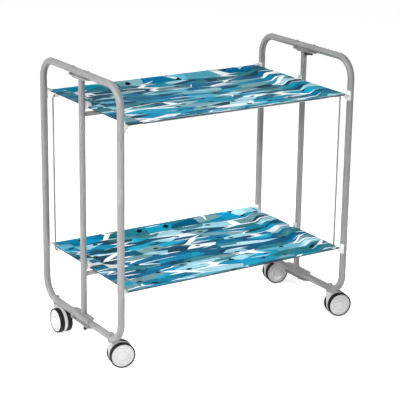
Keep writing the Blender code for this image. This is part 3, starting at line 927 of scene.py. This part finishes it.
    def _bolt(self, spot: Vector) -> None:
        """Build the dark nut on its stud, which hangs lower at the left joint.

        Args:
            spot: Where the stud leaves the low joint.
        """
        drop = self.bolt_drop if self.side is Side.LEFT else 0.0
        corners = arc((spot.x, spot.y), self.bolt, 0.0, 360.0, 6)[:-1]
        work = bmesh.new()
        slab(work, [Vector((x, y, spot.z - drop)) for x, y in corners], Z_AXIS * -self.bolt_head)
        soften(work, self.bolt_edge, limit=TURNED_ANGLE)
        length = drop + self.bolt_head + self.bite
        straight_tube(work, spot - Z_AXIS * length, Z_AXIS, length, self.bolt / 2, ROD_FACETS)
        self.shop.deliver(f"low_bolt_{self.side.label}", work, Look.SPRING, "posts")

    def _latch(self) -> None:
        """Build a dark strip, painted shadow, on the inboard side of the top joint's front half.
        """
        plan = self.plan
        _, far = self._plates()
        inboard = -self.side.value * (plan.post + self.latch_off)
        centre = plan.spot(self.side.value * plan.half_x + inboard, 0.0, plan.top_z - far)
        work = bmesh.new()
        slab(work, [centre + Vector((-self.latch_thick / 2, y, z)) for y, z in self.latch],
             X_AXIS * self.latch_thick)
        soften(work, self.latch_edge, limit=CUT_ANGLE)
        self.shop.deliver(f"latch_strip_{self.side.label}", work, Look.SPRING, "posts")

    def _half_frame(self, end: End) -> None:
        """Build one bent tube with its castor sleeve.

        Args:
            end: Front or rear.
        """
        plan = self.plan
        out = Y_AXIS * end.value
        corner = f"{self.side.label}_{end.label}"
        x = self.side.value * plan.half_x
        tail = plan.pivot_y - plan.pivot_tail
        flat = plan.half_y - plan.bend - tail
        work = bmesh.new()
        start = plan.spot(x, end.value * (tail + ROUND_END), plan.top_z)
        run = TubeRun(work, start, out, plan.tube, TUBE_FACETS, plan.tube - plan.wall)
        run.straight(flat - ROUND_END)
        run.bend(-Z_AXIS, plan.bend)
        run.straight(plan.top_z - plan.low_z - 2 * plan.bend)
        run.bend(-out, plan.bend)
        run.straight(flat - ROUND_END)
        run.finish()
        stem = plan.spot(x, end.value * plan.castor_y, plan.low_z)
        rise, drop, bore, rim = self.sleeve_rise, self.sleeve_drop, self.stem_bore, self.sleeve
        roof = rise - self.sleeve_roof
        profile = [(rim * share, rise - down) for share, down in self.sleeve_crown]
        profile += [(rim, self.sleeve_edge - drop), (rim - self.sleeve_edge, -drop),
                    (bore, -drop), (bore, roof), (0.0, roof)]
        turn_profile(work, profile, stem, Z_AXIS, TUBE_FACETS)
        self.shop.deliver(f"bent_tube_{corner}", work, Look.LACQUER, f"half_{corner}",
                          [f"half_frame_{corner}"], angle=CUT_ANGLE)

    def _pins(self, end: End) -> None:
        """Build the two folding pins of one half frame.

        Args:
            end: Front or rear.
        """
        plan = self.plan
        _, far = self._plates()
        corner = f"{self.side.label}_{end.label}"
        spots = {"top": (plan.top_z, -far - plan.gap, plan.tube + plan.gap),
                 "bottom": (plan.low_z, -far - plan.gap, far + plan.gap)}
        for name, (height, low, high) in spots.items():
            half = [(self.pin_head * share, self.pin_crown * part)
                    for share, part in self.pin_dome] + [(self.pin, 0.0)]
            profile = [(radius, high + out) for radius, out in half]
            profile += [(radius, low - out) for radius, out in reversed(half)]
            work = bmesh.new()
            place = plan.spot(self.side.value * plan.half_x, end.value * plan.pivot_y, height)
            turn_profile(work, profile, place, Z_AXIS, PIN_FACETS)
            self.shop.deliver(f"fold_pin_{name}_{corner}", work, Look.ZINC, "posts",
                              [f"hinge_pin_{name}_{corner}"], angle=TURNED_ANGLE)


@dataclass
class CornerRest(Assembly):
    """A moulded rest on an upright: a ledge under the tray in front, a stop over it behind."""

    side: Side
    end: End
    level: Level
    collar: float = 0.002
    collar_steps: int = 14
    # How far pad and rib reach into the collar, and how much the pad narrows there.
    sink: float = 0.4
    narrow: float = 0.8
    reach: float = 0.0235
    rise: float = 0.007
    drop: float = 0.019
    tip: float = 0.003
    half_y: float = 0.0095
    rib: float = 0.0060
    edge: float = 0.0008
    pad_edge: float = 0.0007
    pad_inset: float = 0.0005
    pad_corner: float = 0.003
    rib_inset: float = 0.002
    bite: float = 0.001
    wrap: float = 62.0

    def build(self) -> None:
        """Build the rest: half collar, pad and rib in one moulding."""
        plan = self.plan
        centre = plan.spot(self.side.value * plan.half_x, self.end.value * plan.half_y,
                           self.level.value)
        work = bmesh.new()
        self._collar(work, centre)
        self._arm(work, centre)
        corner = f"{self.side.label}_{self.end.label}"
        name = f"{self.level.label}_{corner}"
        self.shop.deliver(f"tray_rest_{name}", work, Look.PLASTIC, f"half_{corner}",
                          [f"corner_rest_{name}"])

    def _collar(self, work: BMesh, centre: Vector) -> None:
        """Add the half collar round the inboard side of the tube.

        Args:
            work: The rest's mesh.
            centre: The point on the upright's centre line, level with the tray's rim.
        """
        inner = self.plan.tube + self.plan.gap
        outer = self.plan.tube + self.collar
        facing = 180.0 if self.side is Side.RIGHT else 0.0
        low, high = facing - self.wrap, facing + self.wrap
        ring = [*arc((0.0, 0.0), outer, low, high, self.collar_steps),
                *arc((0.0, 0.0), inner, high, low, self.collar_steps)]
        shell = bmesh.new()
        slab(shell, [centre + Vector((x, y, -self.drop)) for x, y in ring],
             Z_AXIS * (self.rise + self.drop))
        soften(shell, self.edge, limit=CUT_ANGLE)
        self._merge(work, shell)

    def _arm(self, work: BMesh, centre: Vector) -> None:
        """Add the pad that meets the tray and the rib that carries it.

        Args:
            work: The rest's mesh.
            centre: The point on the upright's centre line, level with the tray's rim.
        """
        root = self.plan.tube + self.collar * self.sink
        collar = self.plan.tube + self.collar
        tip, foot, bite = self.reach - self.rib_inset, collar + self.bite, self.bite
        if self.end is End.FRONT:
            under = -self.plan.sheet - self.plan.gap
            pad = (under, under - self.tip)
            rib = [(root, pad[1] + bite), (tip, pad[1] + bite), (tip, pad[1] - bite),
                   (foot, bite - self.drop), (root, bite - self.drop)]
        else:
            pad = (self.plan.gap + self.tip, self.plan.gap)
            rib = [(root, self.rise - bite), (foot, self.rise - bite), (tip, pad[0] + bite / 2),
                   (tip, pad[1] + bite), (root, pad[1] + bite)]
        inboard = -self.side.value
        half = self.half_y - self.pad_inset
        back, back_half = root * self.narrow, self.plan.tube * self.narrow
        cut_x, cut_y = self.reach - self.pad_corner, half - self.pad_corner
        plate = [(back, -back_half), (collar, -half), (cut_x, -half), (self.reach, -cut_y),
                 (self.reach, cut_y), (cut_x, half), (collar, half), (back, back_half)]
        shell = bmesh.new()
        slab(shell, [centre + Vector((inboard * x, y, pad[1])) for x, y in plate],
             Z_AXIS * (pad[0] - pad[1]))
        soften(shell, self.pad_edge, limit=CUT_ANGLE)
        self._merge(work, shell)
        web = bmesh.new()
        slab(web, [centre + Vector((inboard * x, -self.rib / 2, z)) for x, z in rib],
             Y_AXIS * self.rib)
        soften(web, self.edge, limit=CUT_ANGLE)
        self._merge(work, web)

    @staticmethod
    def _merge(work: BMesh, shell: BMesh) -> None:
        """Move one mesh's shapes into another.

        Args:
            work: The mesh that receives them.
            shell: The mesh that is emptied and freed.
        """
        spare = bpy.data.meshes.new("rest_work")
        shell.to_mesh(spare)
        shell.free()
        work.from_mesh(spare)
        bpy.data.meshes.remove(spare)


@dataclass
class Tray(Assembly):
    """One pressed tray with its carrier tube, pivot blocks and rod lugs."""

    level: Level
    recess: float = 0.0095
    end_flange: float = 0.034
    end_slope: float = 0.022
    side_flange: float = 0.008
    side_slope: float = 0.020
    corner: float = 0.007
    corner_steps: int = 6
    slope_steps: int = 10
    carrier: float = 0.006
    carrier_wall: float = 0.001
    post_gap: float = 0.0008
    block_lap: float = 0.010
    block_half: float = 0.0075
    block_rise: float = 0.011
    block_lip: float = 0.003
    trunnion: float = 0.003
    trunnion_reach: float = 0.0022
    trunnion_root: float = 0.001
    block_cut: float = 0.0015
    block_round: float = 0.002
    block_brow: float = 0.003
    rod_y: float = 0.175
    rod_drop: float = 0.009
    lug: tuple[float, float] = (0.009, 0.006)
    block_edge: float = 0.0006
    lug_edge: float = 0.0005
    lug_inset: float = 0.001
    lug_taper: float = 0.0005
    lug_steps: int = 10
    upright_face: float = 0.3

    @property
    def body(self) -> str:
        """The body that carries this tray's pieces."""
        return f"tray_{self.level.label}_body"

    @property
    def outer(self) -> float:
        """Where tube and blocks end, just short of the posts."""
        return self.plan.post_x - self.plan.post - self.post_gap

    @property
    def carrier_z(self) -> float:
        """Height of the carrier tube's centre below the rim."""
        return -(self.recess + self.plan.sheet + self.plan.gap + self.carrier)

    def build(self) -> None:
        """Build every piece of this tray."""
        self._sheet()
        self._carrier_tube()
        for side in Side:
            self._pivot_block(side)
            self._lug(side, End.REAR if side is Side.LEFT else End.FRONT)

    def _stations(self, half: float, flange: float, slope: float) -> list[float]:
        """List the grid lines along one direction.

        Args:
            half: Half of the tray's size.
            flange: Width of the flat rim.
            slope: Width of the slope inside it.

        Returns:
            The positions, from low to high.
        """
        steps = [half - flange - slope * index / self.slope_steps
                 for index in range(self.slope_steps + 1)]
        inner = steps[-1]
        field_lines = [inner * share for share in (0.75, 0.5, 0.25)]
        outward = [half, *steps, *field_lines]
        return [-value for value in outward] + [0.0] + list(reversed(outward))

    @staticmethod
    def _sink(inside: float, slope: float) -> float:
        """Share of the recess reached at a distance inside the rim."""
        share = min(max(inside / slope, 0.0), 1.0)
        return share * share * (3.0 - 2.0 * share)

    def _sheet(self) -> None:
        """Build the pressed sheet: printed face, dark cut edge, plain back."""
        plan = self.plan
        columns = self._stations(plan.tray_x, self.end_flange, self.end_slope)
        rows = self._stations(plan.tray_y, self.side_flange, self.side_slope)
        last_x, last_y = len(columns) - 1, len(rows) - 1
        work = bmesh.new()
        bmesh.ops.create_grid(work, x_segments=last_x, y_segments=last_y, size=0.5)
        corners = []
        for vert in work.verts:
            column = round((vert.co.x + 0.5) * last_x)
            row = round((vert.co.y + 0.5) * last_y)
            x, y = columns[column], rows[row]
            down = min(self._sink(plan.tray_x - self.end_flange - abs(x), self.end_slope),
                       self._sink(plan.tray_y - self.side_flange - abs(y), self.side_slope))
            vert.co = plan.spot(x, y, self.level.value - self.recess * down)
            if column in (0, last_x) and row in (0, last_y):
                corners.append(vert)
        bmesh.ops.bevel(work, geom=corners, offset=self.corner, offset_type="OFFSET",
                        affect="VERTICES", segments=self.corner_steps, profile=0.5, material=-1)
        bmesh.ops.recalc_face_normals(work, faces=work.faces[:])
        if sum(face.normal.z for face in work.faces) < 0:
            bmesh.ops.reverse_faces(work, faces=work.faces[:])
        bmesh.ops.solidify(work, geom=work.faces[:], thickness=plan.sheet)
        self._sort_faces(work)
        print_look = Look.PRINT_UPPER if self.level is Level.UPPER else Look.PRINT_LOWER
        self.shop.deliver(f"tray_sheet_{self.level.label}", work, print_look, self.body,
                          [f"tray_{self.level.label}"], angle=CUT_ANGLE,
                          extra=(Look.EDGE, Look.BACK))

    def _sort_faces(self, work: BMesh) -> None:
        """Give the printed face, the cut edge and the back their own finishes.

        Args:
            work: The sheet's mesh, whose top is brought to the rim's height.
        """
        top = max(vert.co.z for vert in work.verts)
        shift = self.level.value - top
        if abs(shift) > MERGE:
            bmesh.ops.translate(work, verts=work.verts[:], vec=Z_AXIS * shift)
        for face in work.faces:
            rise = face.normal.z
            face.material_index = (0 if rise > self.upright_face
                                   else 2 if rise < -self.upright_face else 1)

    def _carrier_tube(self) -> None:
        """Build the tube under the sheet."""
        plan = self.plan
        work = bmesh.new()
        start = plan.spot(ROUND_END - self.outer, 0.0, self.level.value + self.carrier_z)
        straight_tube(work, start, X_AXIS, 2 * self.outer - 2 * ROUND_END, self.carrier,
                      PIN_FACETS, self.carrier - self.carrier_wall)
        self.shop.deliver(f"under_tube_{self.level.label}", work, Look.LACQUER, self.body,
                          [f"carrier_tube_{self.level.label}"])

    def _pivot_block(self, side: Side) -> None:
        """Build the moulded clip that grips the tray's end and turns in the post.

        Args:
            side: Left or right.
        """
        plan = self.plan
        inner = plan.tray_x - self.block_lap
        rim = self.level.value
        gap, sheet = plan.gap, plan.sheet
        low, high, outer = -sheet - gap - self.block_lip, self.block_rise, self.outer
        slot = plan.tray_x + gap
        cut, curve, brow = self.block_cut, self.block_round, self.block_brow
        outline = [(inner, low + cut), (inner + cut, low), (outer, low), (outer, high - curve),
                   (outer - curve, high), (inner + 2 * brow, high), (inner + brow, high - brow),
                   (inner, gap + cut), (inner, gap), (slot, gap), (slot, -sheet - gap),
                   (inner, -sheet - gap)]
        work = bmesh.new()
        start = plan.spot(0.0, -self.block_half, rim)
        slab(work, [start + Vector((side.value * x, 0.0, z)) for x, z in outline],
             Y_AXIS * self.block_half * 2)
        soften(work, self.block_edge, limit=25.0)
        pin = plan.spot(side.value * (outer - self.trunnion_root), 0.0, rim - sheet / 2)
        straight_tube(work, pin, X_AXIS * side.value, self.trunnion_reach, self.trunnion,
                      STUB_FACETS)
        name = f"{self.level.label}_{side.label}"
        self.shop.deliver(f"tray_clip_{name}", work, Look.PLASTIC, self.body,
                          [f"pivot_block_{name}"])

    def _lug(self, side: Side, end: End) -> None:
        """Build the lug that takes a link rod's end.

        Args:
            side: Left or right.
            end: Front or rear.
        """
        plan = self.plan
        length, half = self.lug
        outer = plan.tray_x - self.lug_inset
        high = -plan.sheet - plan.gap
        middle = -self.rod_drop
        round_low = arc((0.0, middle), half - self.lug_taper, 180.0, 360.0, self.lug_steps)
        outline = [(-half, high), *round_low, (half, high)]
        work = bmesh.new()
        start = plan.spot(side.value * (outer - length), end.value * self.rod_y,
                          self.level.value)
        slab(work, [start + Vector((0.0, y, z)) for y, z in outline],
             X_AXIS * side.value * length)
        soften(work, self.lug_edge, limit=CUT_ANGLE)
        name = f"{self.level.label}_{side.label}"
        self.shop.deliver(f"rod_eye_{name}", work, Look.PLASTIC, self.body, [f"rod_lug_{name}"])


@dataclass
class LinkRod(Assembly):
    """A wire rod that keeps both trays parallel; its ends turn into the lugs."""

    side: Side
    end: End
    radius: float = 0.002
    rod_y: float = 0.175
    drop: float = 0.009
    bend: float = 0.005
    bend_steps: int = 8
    tail: float = 0.0082
    tail_gap: float = 0.0003
    clip_off: float = 0.0006
    clip: float = 0.0038
    # Where the clip's faces lie along the tail: bore and rim of one, rim and bore of the other.
    clip_faces: tuple[float, float, float, float] = (-0.0003, -0.0006, 0.0, 0.0004)

    def build(self) -> None:
        """Build the rod with a push-on clip at each end."""
        plan = self.plan
        sign = self.side.value
        inward = X_AXIS * -sign
        x = sign * (plan.tray_x + plan.half_x - plan.tube) / 2
        tip = x - sign * (self.bend + self.tail - self.tail_gap)
        y = self.end.value * self.rod_y
        upper = Level.UPPER.value - self.drop
        lower = Level.LOWER.value - self.drop
        work = bmesh.new()
        run = TubeRun(work, plan.spot(tip, y, upper), -inward, self.radius, ROD_FACETS)
        run.straight(self.tail - self.tail_gap)
        run.bend(-Z_AXIS, self.bend, self.bend_steps)
        run.straight(upper - lower - 2 * self.bend)
        run.bend(inward, self.bend, self.bend_steps)
        run.straight(self.tail - self.tail_gap)
        run.finish()
        for height in (upper, lower):
            self._clip(work, plan.spot(sign * (plan.tray_x + self.clip_off), y, height))
        name = self.side.label
        self.shop.deliver(f"tie_rod_{name}", work, Look.WIRE, f"rod_{name}",
                          [f"link_rod_{name}_{self.end.label}"])

    def _clip(self, work: BMesh, spot: Vector) -> None:
        """Add a thin dished clip that holds the rod in its lug.

        Args:
            work: The rod's mesh.
            spot: The point on the rod's tail where the clip sits.
        """
        radii = (self.radius, self.clip, self.clip, self.radius)
        turn_profile(work, zip(radii, self.clip_faces), spot, X_AXIS * self.side.value,
                     ROD_FACETS, closed=True)


@dataclass
class Castor(Assembly):
    """One twin wheel castor: core with stem and axle, two rims and two tyres."""

    side: Side
    end: End
    heading: float = -12.0
    clear_heading: float = -90.0
    trail: float = 0.026
    wheel: float = 0.0325
    tyre_depth: float = 0.0030
    tyre_width: float = 0.0128
    rim_width: float = 0.0140
    web: float = 0.0044
    web_gap: float = 0.0005
    core_margin: float = 0.001
    top: float = 0.068
    boss: float = 0.0085
    stem: float = 0.005
    stem_top: float = 0.090
    foot: float = 0.014
    edge: float = 0.0012
    edge_steps: int = 3
    chamfer: float = 0.0008
    bite: float = 0.001
    web_inset: float = 0.0001
    neck_waist: float = 0.005
    neck_drop: float = 0.008
    segments: int = 56
    # Arcs of the core's outline, open below: first and last angle, number of chords.
    front_arc: tuple[float, float, int] = (82.0, -55.0, 22)
    rear_arc: tuple[float, float, int] = (-125.0, -180.0, 8)
    # Radius of each point of a disc's moulded rings, and how deep it lies below the crown.
    rings: tuple[tuple[float, float], ...] = (
        (0.0, 0.0), (0.0045, 0.0001), (0.0085, 0.0004), (0.0115, 0.0009), (0.0121, 0.0030),
        (0.0133, 0.0032), (0.0140, 0.0012), (0.0155, 0.0008), (0.0190, 0.0008),
        (0.0205, 0.0012), (0.0211, 0.0033), (0.0223, 0.0034), (0.0230, 0.0013),
        (0.0245, 0.0009), (0.0275, 0.0011))
    # The same for its edge, but from the rim inwards.
    rim_edge: tuple[tuple[float, float], ...] = (
        (0.0012, 0.0016), (0.0003, 0.0024), (0.0, 0.0033))
    rim_chamfer: float = 0.0006
    # Edges of a tyre: how far below the tread, and how far from its inner or outer side.
    tread_in: tuple[tuple[float, float], ...] = ((0.0009, 0.0), (0.0003, 0.0003), (0.0, 0.0010))
    tread_out: tuple[tuple[float, float], ...] = ((0.0, 0.0012), (0.0003, 0.0004), (0.0009, 0.0))
    tyre_lip: tuple[float, float] = (0.0002, 0.0003)
    hub_bore: float = 0.0033
    hub_depth: float = 0.004

    @property
    def corner(self) -> str:
        """Name of this corner in piece names."""
        return f"{self.side.label}_{self.end.label}"

    @property
    def stem_spot(self) -> Vector:
        """Where the stem's axis meets the floor."""
        return self.plan.spot(self.side.value * self.plan.half_x,
                              self.end.value * self.plan.castor_y, 0.0)

    @property
    def turn(self) -> float:
        """Heading in degrees; the left rear castor stands clear of the tilting tray."""
        clear = self.side is Side.LEFT and self.end is End.REAR
        return self.clear_heading if clear else self.heading

    @property
    def ahead(self) -> Vector:
        """The way that the wheel trails."""
        angle = math.radians(self.turn)
        return Vector((math.cos(angle), math.sin(angle), 0.0))

    @property
    def axle(self) -> Vector:
        """Direction of the axle, towards the rear."""
        return Z_AXIS.cross(self.ahead)

    def build(self) -> None:
        """Build every piece of this castor."""
        self._core()
        for name, sign in (("front", -1.0), ("rear", 1.0)):
            self._wheel(name, self.axle * sign)

    def _local(self, along: float, height: float, across: float = 0.0) -> Vector:
        """Give a point from its place along, above and across the castor."""
        return self.stem_spot + self.ahead * along + self.axle * across + Z_AXIS * height

    def _core(self) -> None:
        """Build the round core between the wheels, with its neck, stem and axle."""
        radius = self.wheel - self.core_margin
        middle = (self.trail, self.wheel)
        back, under = self.bite - self.boss, self.top - self.bite
        outline = [(back, under), (self.boss, under),
                   *arc(middle, radius, *self.front_arc), *arc(middle, radius, *self.rear_arc),
                   (back, self.top - self.foot)]
        half = self.web - self.web_inset
        work = bmesh.new()
        slab(work, [self._local(along, height, -half) for along, height in outline],
             self.axle * half * 2)
        soften(work, self.edge, self.edge_steps, CUT_ANGLE)
        neck = [(0.0, self.top), (self.boss - self.chamfer, self.top),
                (self.boss, self.top - self.chamfer), (self.boss, self.top - self.neck_waist),
                (self.boss - self.bite, self.top - self.neck_drop),
                (0.0, self.top - self.neck_drop)]
        turn_profile(work, neck, self.stem_spot, Z_AXIS, TUBE_FACETS)
        stem = [(0.0, self.stem_top), (self.stem - self.chamfer, self.stem_top),
                (self.stem, self.stem_top - self.chamfer), (self.stem, under), (0.0, under)]
        turn_profile(work, stem, self.stem_spot, Z_AXIS, STUB_FACETS)
        self.shop.deliver(f"castor_core_{self.corner}", work, Look.CASTOR,
                          f"castor_{self.corner}", [f"castor_{self.corner}_housing"])

    def _wheel(self, name: str, outward: Vector) -> None:
        """Build one wheel: a domed rim with moulded rings, and its tyre.

        Args:
            name: Front or rear wheel of the pair.
            outward: The axle's direction away from the core.
        """
        body = f"wheel_{self.corner}_{name}"
        hub = self._local(self.trail, self.wheel) + outward * (self.web + self.web_gap)
        rim = self.wheel - self.tyre_depth - self.plan.gap
        width = self.rim_width
        profile = [(radius, width - depth) for radius, depth in self.rings]
        profile += [(rim - inside, width - depth) for inside, depth in self.rim_edge]
        profile += [(rim, self.rim_chamfer), (rim - self.rim_chamfer, 0.0), (self.hub_bore, 0.0),
                    (self.hub_bore, self.hub_depth), (0.0, self.hub_depth)]
        work = bmesh.new()
        turn_profile(work, profile, hub, outward, self.segments)
        self.shop.deliver(f"castor_disc_{self.corner}_{name}", work, Look.CASTOR, body,
                          [f"castor_{self.corner}_rim_{name}"], angle=TURNED_ANGLE)
        inner, wide = rim + self.plan.gap, self.tyre_width
        ring = [(inner, 0.0), *((self.wheel - below, far) for below, far in self.tread_in),
                *((self.wheel - below, wide - far) for below, far in self.tread_out),
                (inner + self.tyre_lip[0], wide), (inner, wide - self.tyre_lip[1])]
        work = bmesh.new()
        turn_profile(work, ring, hub, outward, self.segments, closed=True)
        self.shop.deliver(f"castor_tyre_{self.corner}_{name}", work, Look.RUBBER, body,
                          [f"castor_{self.corner}_tyre_{name}"], angle=TURNED_ANGLE)


@dataclass(frozen=True)
class Lamp:
    """A soft square lamp in watts, metres and degrees, aimed over the trolley's middle."""

    name: str
    spot: tuple[float, float, float]
    power: float
    size: float
    spread: float = 180.0
    aim_z: float = 0.35

    def hang(self) -> None:
        """Hang the lamp in the scene."""
        light = bpy.data.lights.new(self.name, "AREA")
        light.energy = self.power
        light.size = self.size
        light.spread = math.radians(self.spread)
        lamp = bpy.data.objects.new(self.name, light)
        place = Vector(self.spot)
        aim = (Vector((0.0, 0.0, self.aim_z)) - place).to_track_quat("-Z", "Y")
        lamp.matrix_world = Matrix.Translation(place) @ aim.to_matrix().to_4x4()
        bpy.context.scene.collection.objects.link(lamp)


@dataclass
class Studio:
    """Pale floor, soft lights and the camera."""

    plan: Plan
    floor_half: float = 6.0
    lamps: tuple[Lamp, ...] = (
        Lamp("key_left", (-3.1, 0.9, 1.8), 62.0, 1.5),
        Lamp("fill_front", (-2.4, -2.1, 2.3), 29.0, 1.8),
        Lamp("low_front", (-1.5, -2.9, 1.9), 2.0, 0.7, 15.0, 0.20),
        Lamp("top_soft", (-0.3, 0.9, 3.0), 8.0, 2.2))
    camera_spot: tuple[float, float, float] = (-1.9316, -3.03, 1.4621)
    yaw: float = 32.677
    pitch: float = 17.3227
    roll: float = 0.8164
    pixels: float = 1438.75
    frame_width: float = 400.0
    sensor: float = 36.0
    bright_way: tuple[float, float, float] = (-0.93, 0.18, 0.32)
    fade: tuple[float, float] = (-0.7, 0.9)
    air: tuple[float, float] = (0.02, 0.75)
    paper: tuple[float, float] = (0.56, 0.28)

    def build(self) -> None:
        """Set up floor, world, lamps, camera and view transform."""
        self._floor()
        self._world()
        for lamp in self.lamps:
            lamp.hang()
        self._camera()
        bpy.context.scene.view_settings.view_transform = "Standard"

    def _floor(self) -> None:
        """Lay a pale floor that is white to the camera and keeps the shadow."""
        work = bmesh.new()
        bmesh.ops.create_grid(work, x_segments=1, y_segments=1, size=self.floor_half)
        mesh = bpy.data.meshes.new("studio_floor")
        work.to_mesh(mesh)
        work.free()
        material = bpy.data.materials.new("studio_paper")
        nodes = Nodes(material)
        paper = nodes.add("BsdfDiffuse", {"Color": linear("#f2f2f2")})
        level = nodes.reckon("MULTIPLY_ADD", self._seen(nodes), self.paper[0] - self.paper[1],
                             self.paper[1])
        glow = nodes.add("Emission", {"Color": WHITE, "Strength": level})
        both = nodes.add("AddShader", {0: paper.outputs["BSDF"], 1: glow.outputs["Emission"]})
        nodes.add("OutputMaterial", {"Surface": both.outputs["Shader"]})
        mesh.materials.append(material)
        floor = bpy.data.objects.new("studio_floor", mesh)
        bpy.context.scene.collection.objects.link(floor)

    @staticmethod
    def _seen(nodes: Nodes) -> NodeSocket:
        """Tell the rays that see the white surroundings from those that only gather light.

        Args:
            nodes: The nodes of the floor's material or of the world.

        Returns:
            One for rays from the camera, a reflection or a clear body, else zero.
        """
        rays = nodes.add("LightPath").outputs
        direct = nodes.reckon("MAXIMUM", rays["Is Camera Ray"], rays["Is Transmission Ray"])
        return nodes.reckon("MAXIMUM", direct, rays["Is Glossy Ray"])

    def _world(self) -> None:
        """Light softly from the upper left, and show plain white behind the trolley."""
        world = bpy.data.worlds.new("studio_air")
        bpy.context.scene.world = world
        nodes = Nodes(world)
        way = nodes.add("TexCoord").outputs["Generated"]
        side = nodes.add(VECTORS, {0: way, 1: self.bright_way}, operation="DOT_PRODUCT")
        glow = nodes.remap(side.outputs["Value"], self.fade, self.air, "SMOOTHSTEP")
        level = nodes.add("Mix", {0: self._seen(nodes), 2: glow, 3: 1.0}).outputs[0]
        air = nodes.add("Background", {"Color": WHITE, "Strength": level})
        nodes.add("OutputWorld", {"Surface": air.outputs["Background"]})

    def _camera(self) -> None:
        """Stand the camera where the photograph was taken."""
        data = bpy.data.cameras.new("photo_camera")
        data.sensor_width = self.sensor
        data.lens = self.sensor * self.pixels / self.frame_width
        camera = bpy.data.objects.new("photo_camera", data)
        yaw, pitch, roll = (math.radians(value) for value in (self.yaw, self.pitch, self.roll))
        ahead = Vector((math.sin(yaw) * math.cos(pitch), math.cos(yaw) * math.cos(pitch),
                        -math.sin(pitch)))
        right = Vector((math.cos(yaw), -math.sin(yaw), 0.0))
        up = right.cross(ahead)
        turned_right = right * math.cos(roll) + up * math.sin(roll)
        turned_up = up * math.cos(roll) - right * math.sin(roll)
        turn = Matrix((turned_right, turned_up, -ahead)).transposed().to_4x4()
        camera.matrix_world = Matrix.Translation(self.plan.spot(*self.camera_spot)) @ turn
        bpy.context.scene.collection.objects.link(camera)
        bpy.context.scene.camera = camera


def measured_plan() -> Plan:
    """Read where the trolley's middle lies from the solids.

    Returns:
        The plan with its centre filled in.
    """
    left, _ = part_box("post_left")
    _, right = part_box("post_right")
    return Plan(centre_x=(left.x + right.x) / 2)


def main() -> None:
    """Build the trolley's sub-assemblies in order and report them."""
    logging.basicConfig(level=logging.INFO, format="%(message)s")
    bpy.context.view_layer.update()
    plan = measured_plan()
    shop = Workshop()
    for side in Side:
        EndFrame(shop, plan, side).build()
    for level in Level:
        Tray(shop, plan, level).build()
    LinkRod(shop, plan, Side.LEFT, End.REAR).build()
    LinkRod(shop, plan, Side.RIGHT, End.FRONT).build()
    for side in Side:
        for end in End:
            Castor(shop, plan, side, end).build()
    Studio(plan).build()
    LOG.info("%d pieces", shop.count)
    bpy.context.view_layer.update()


if __name__ == "__main__":
    main()
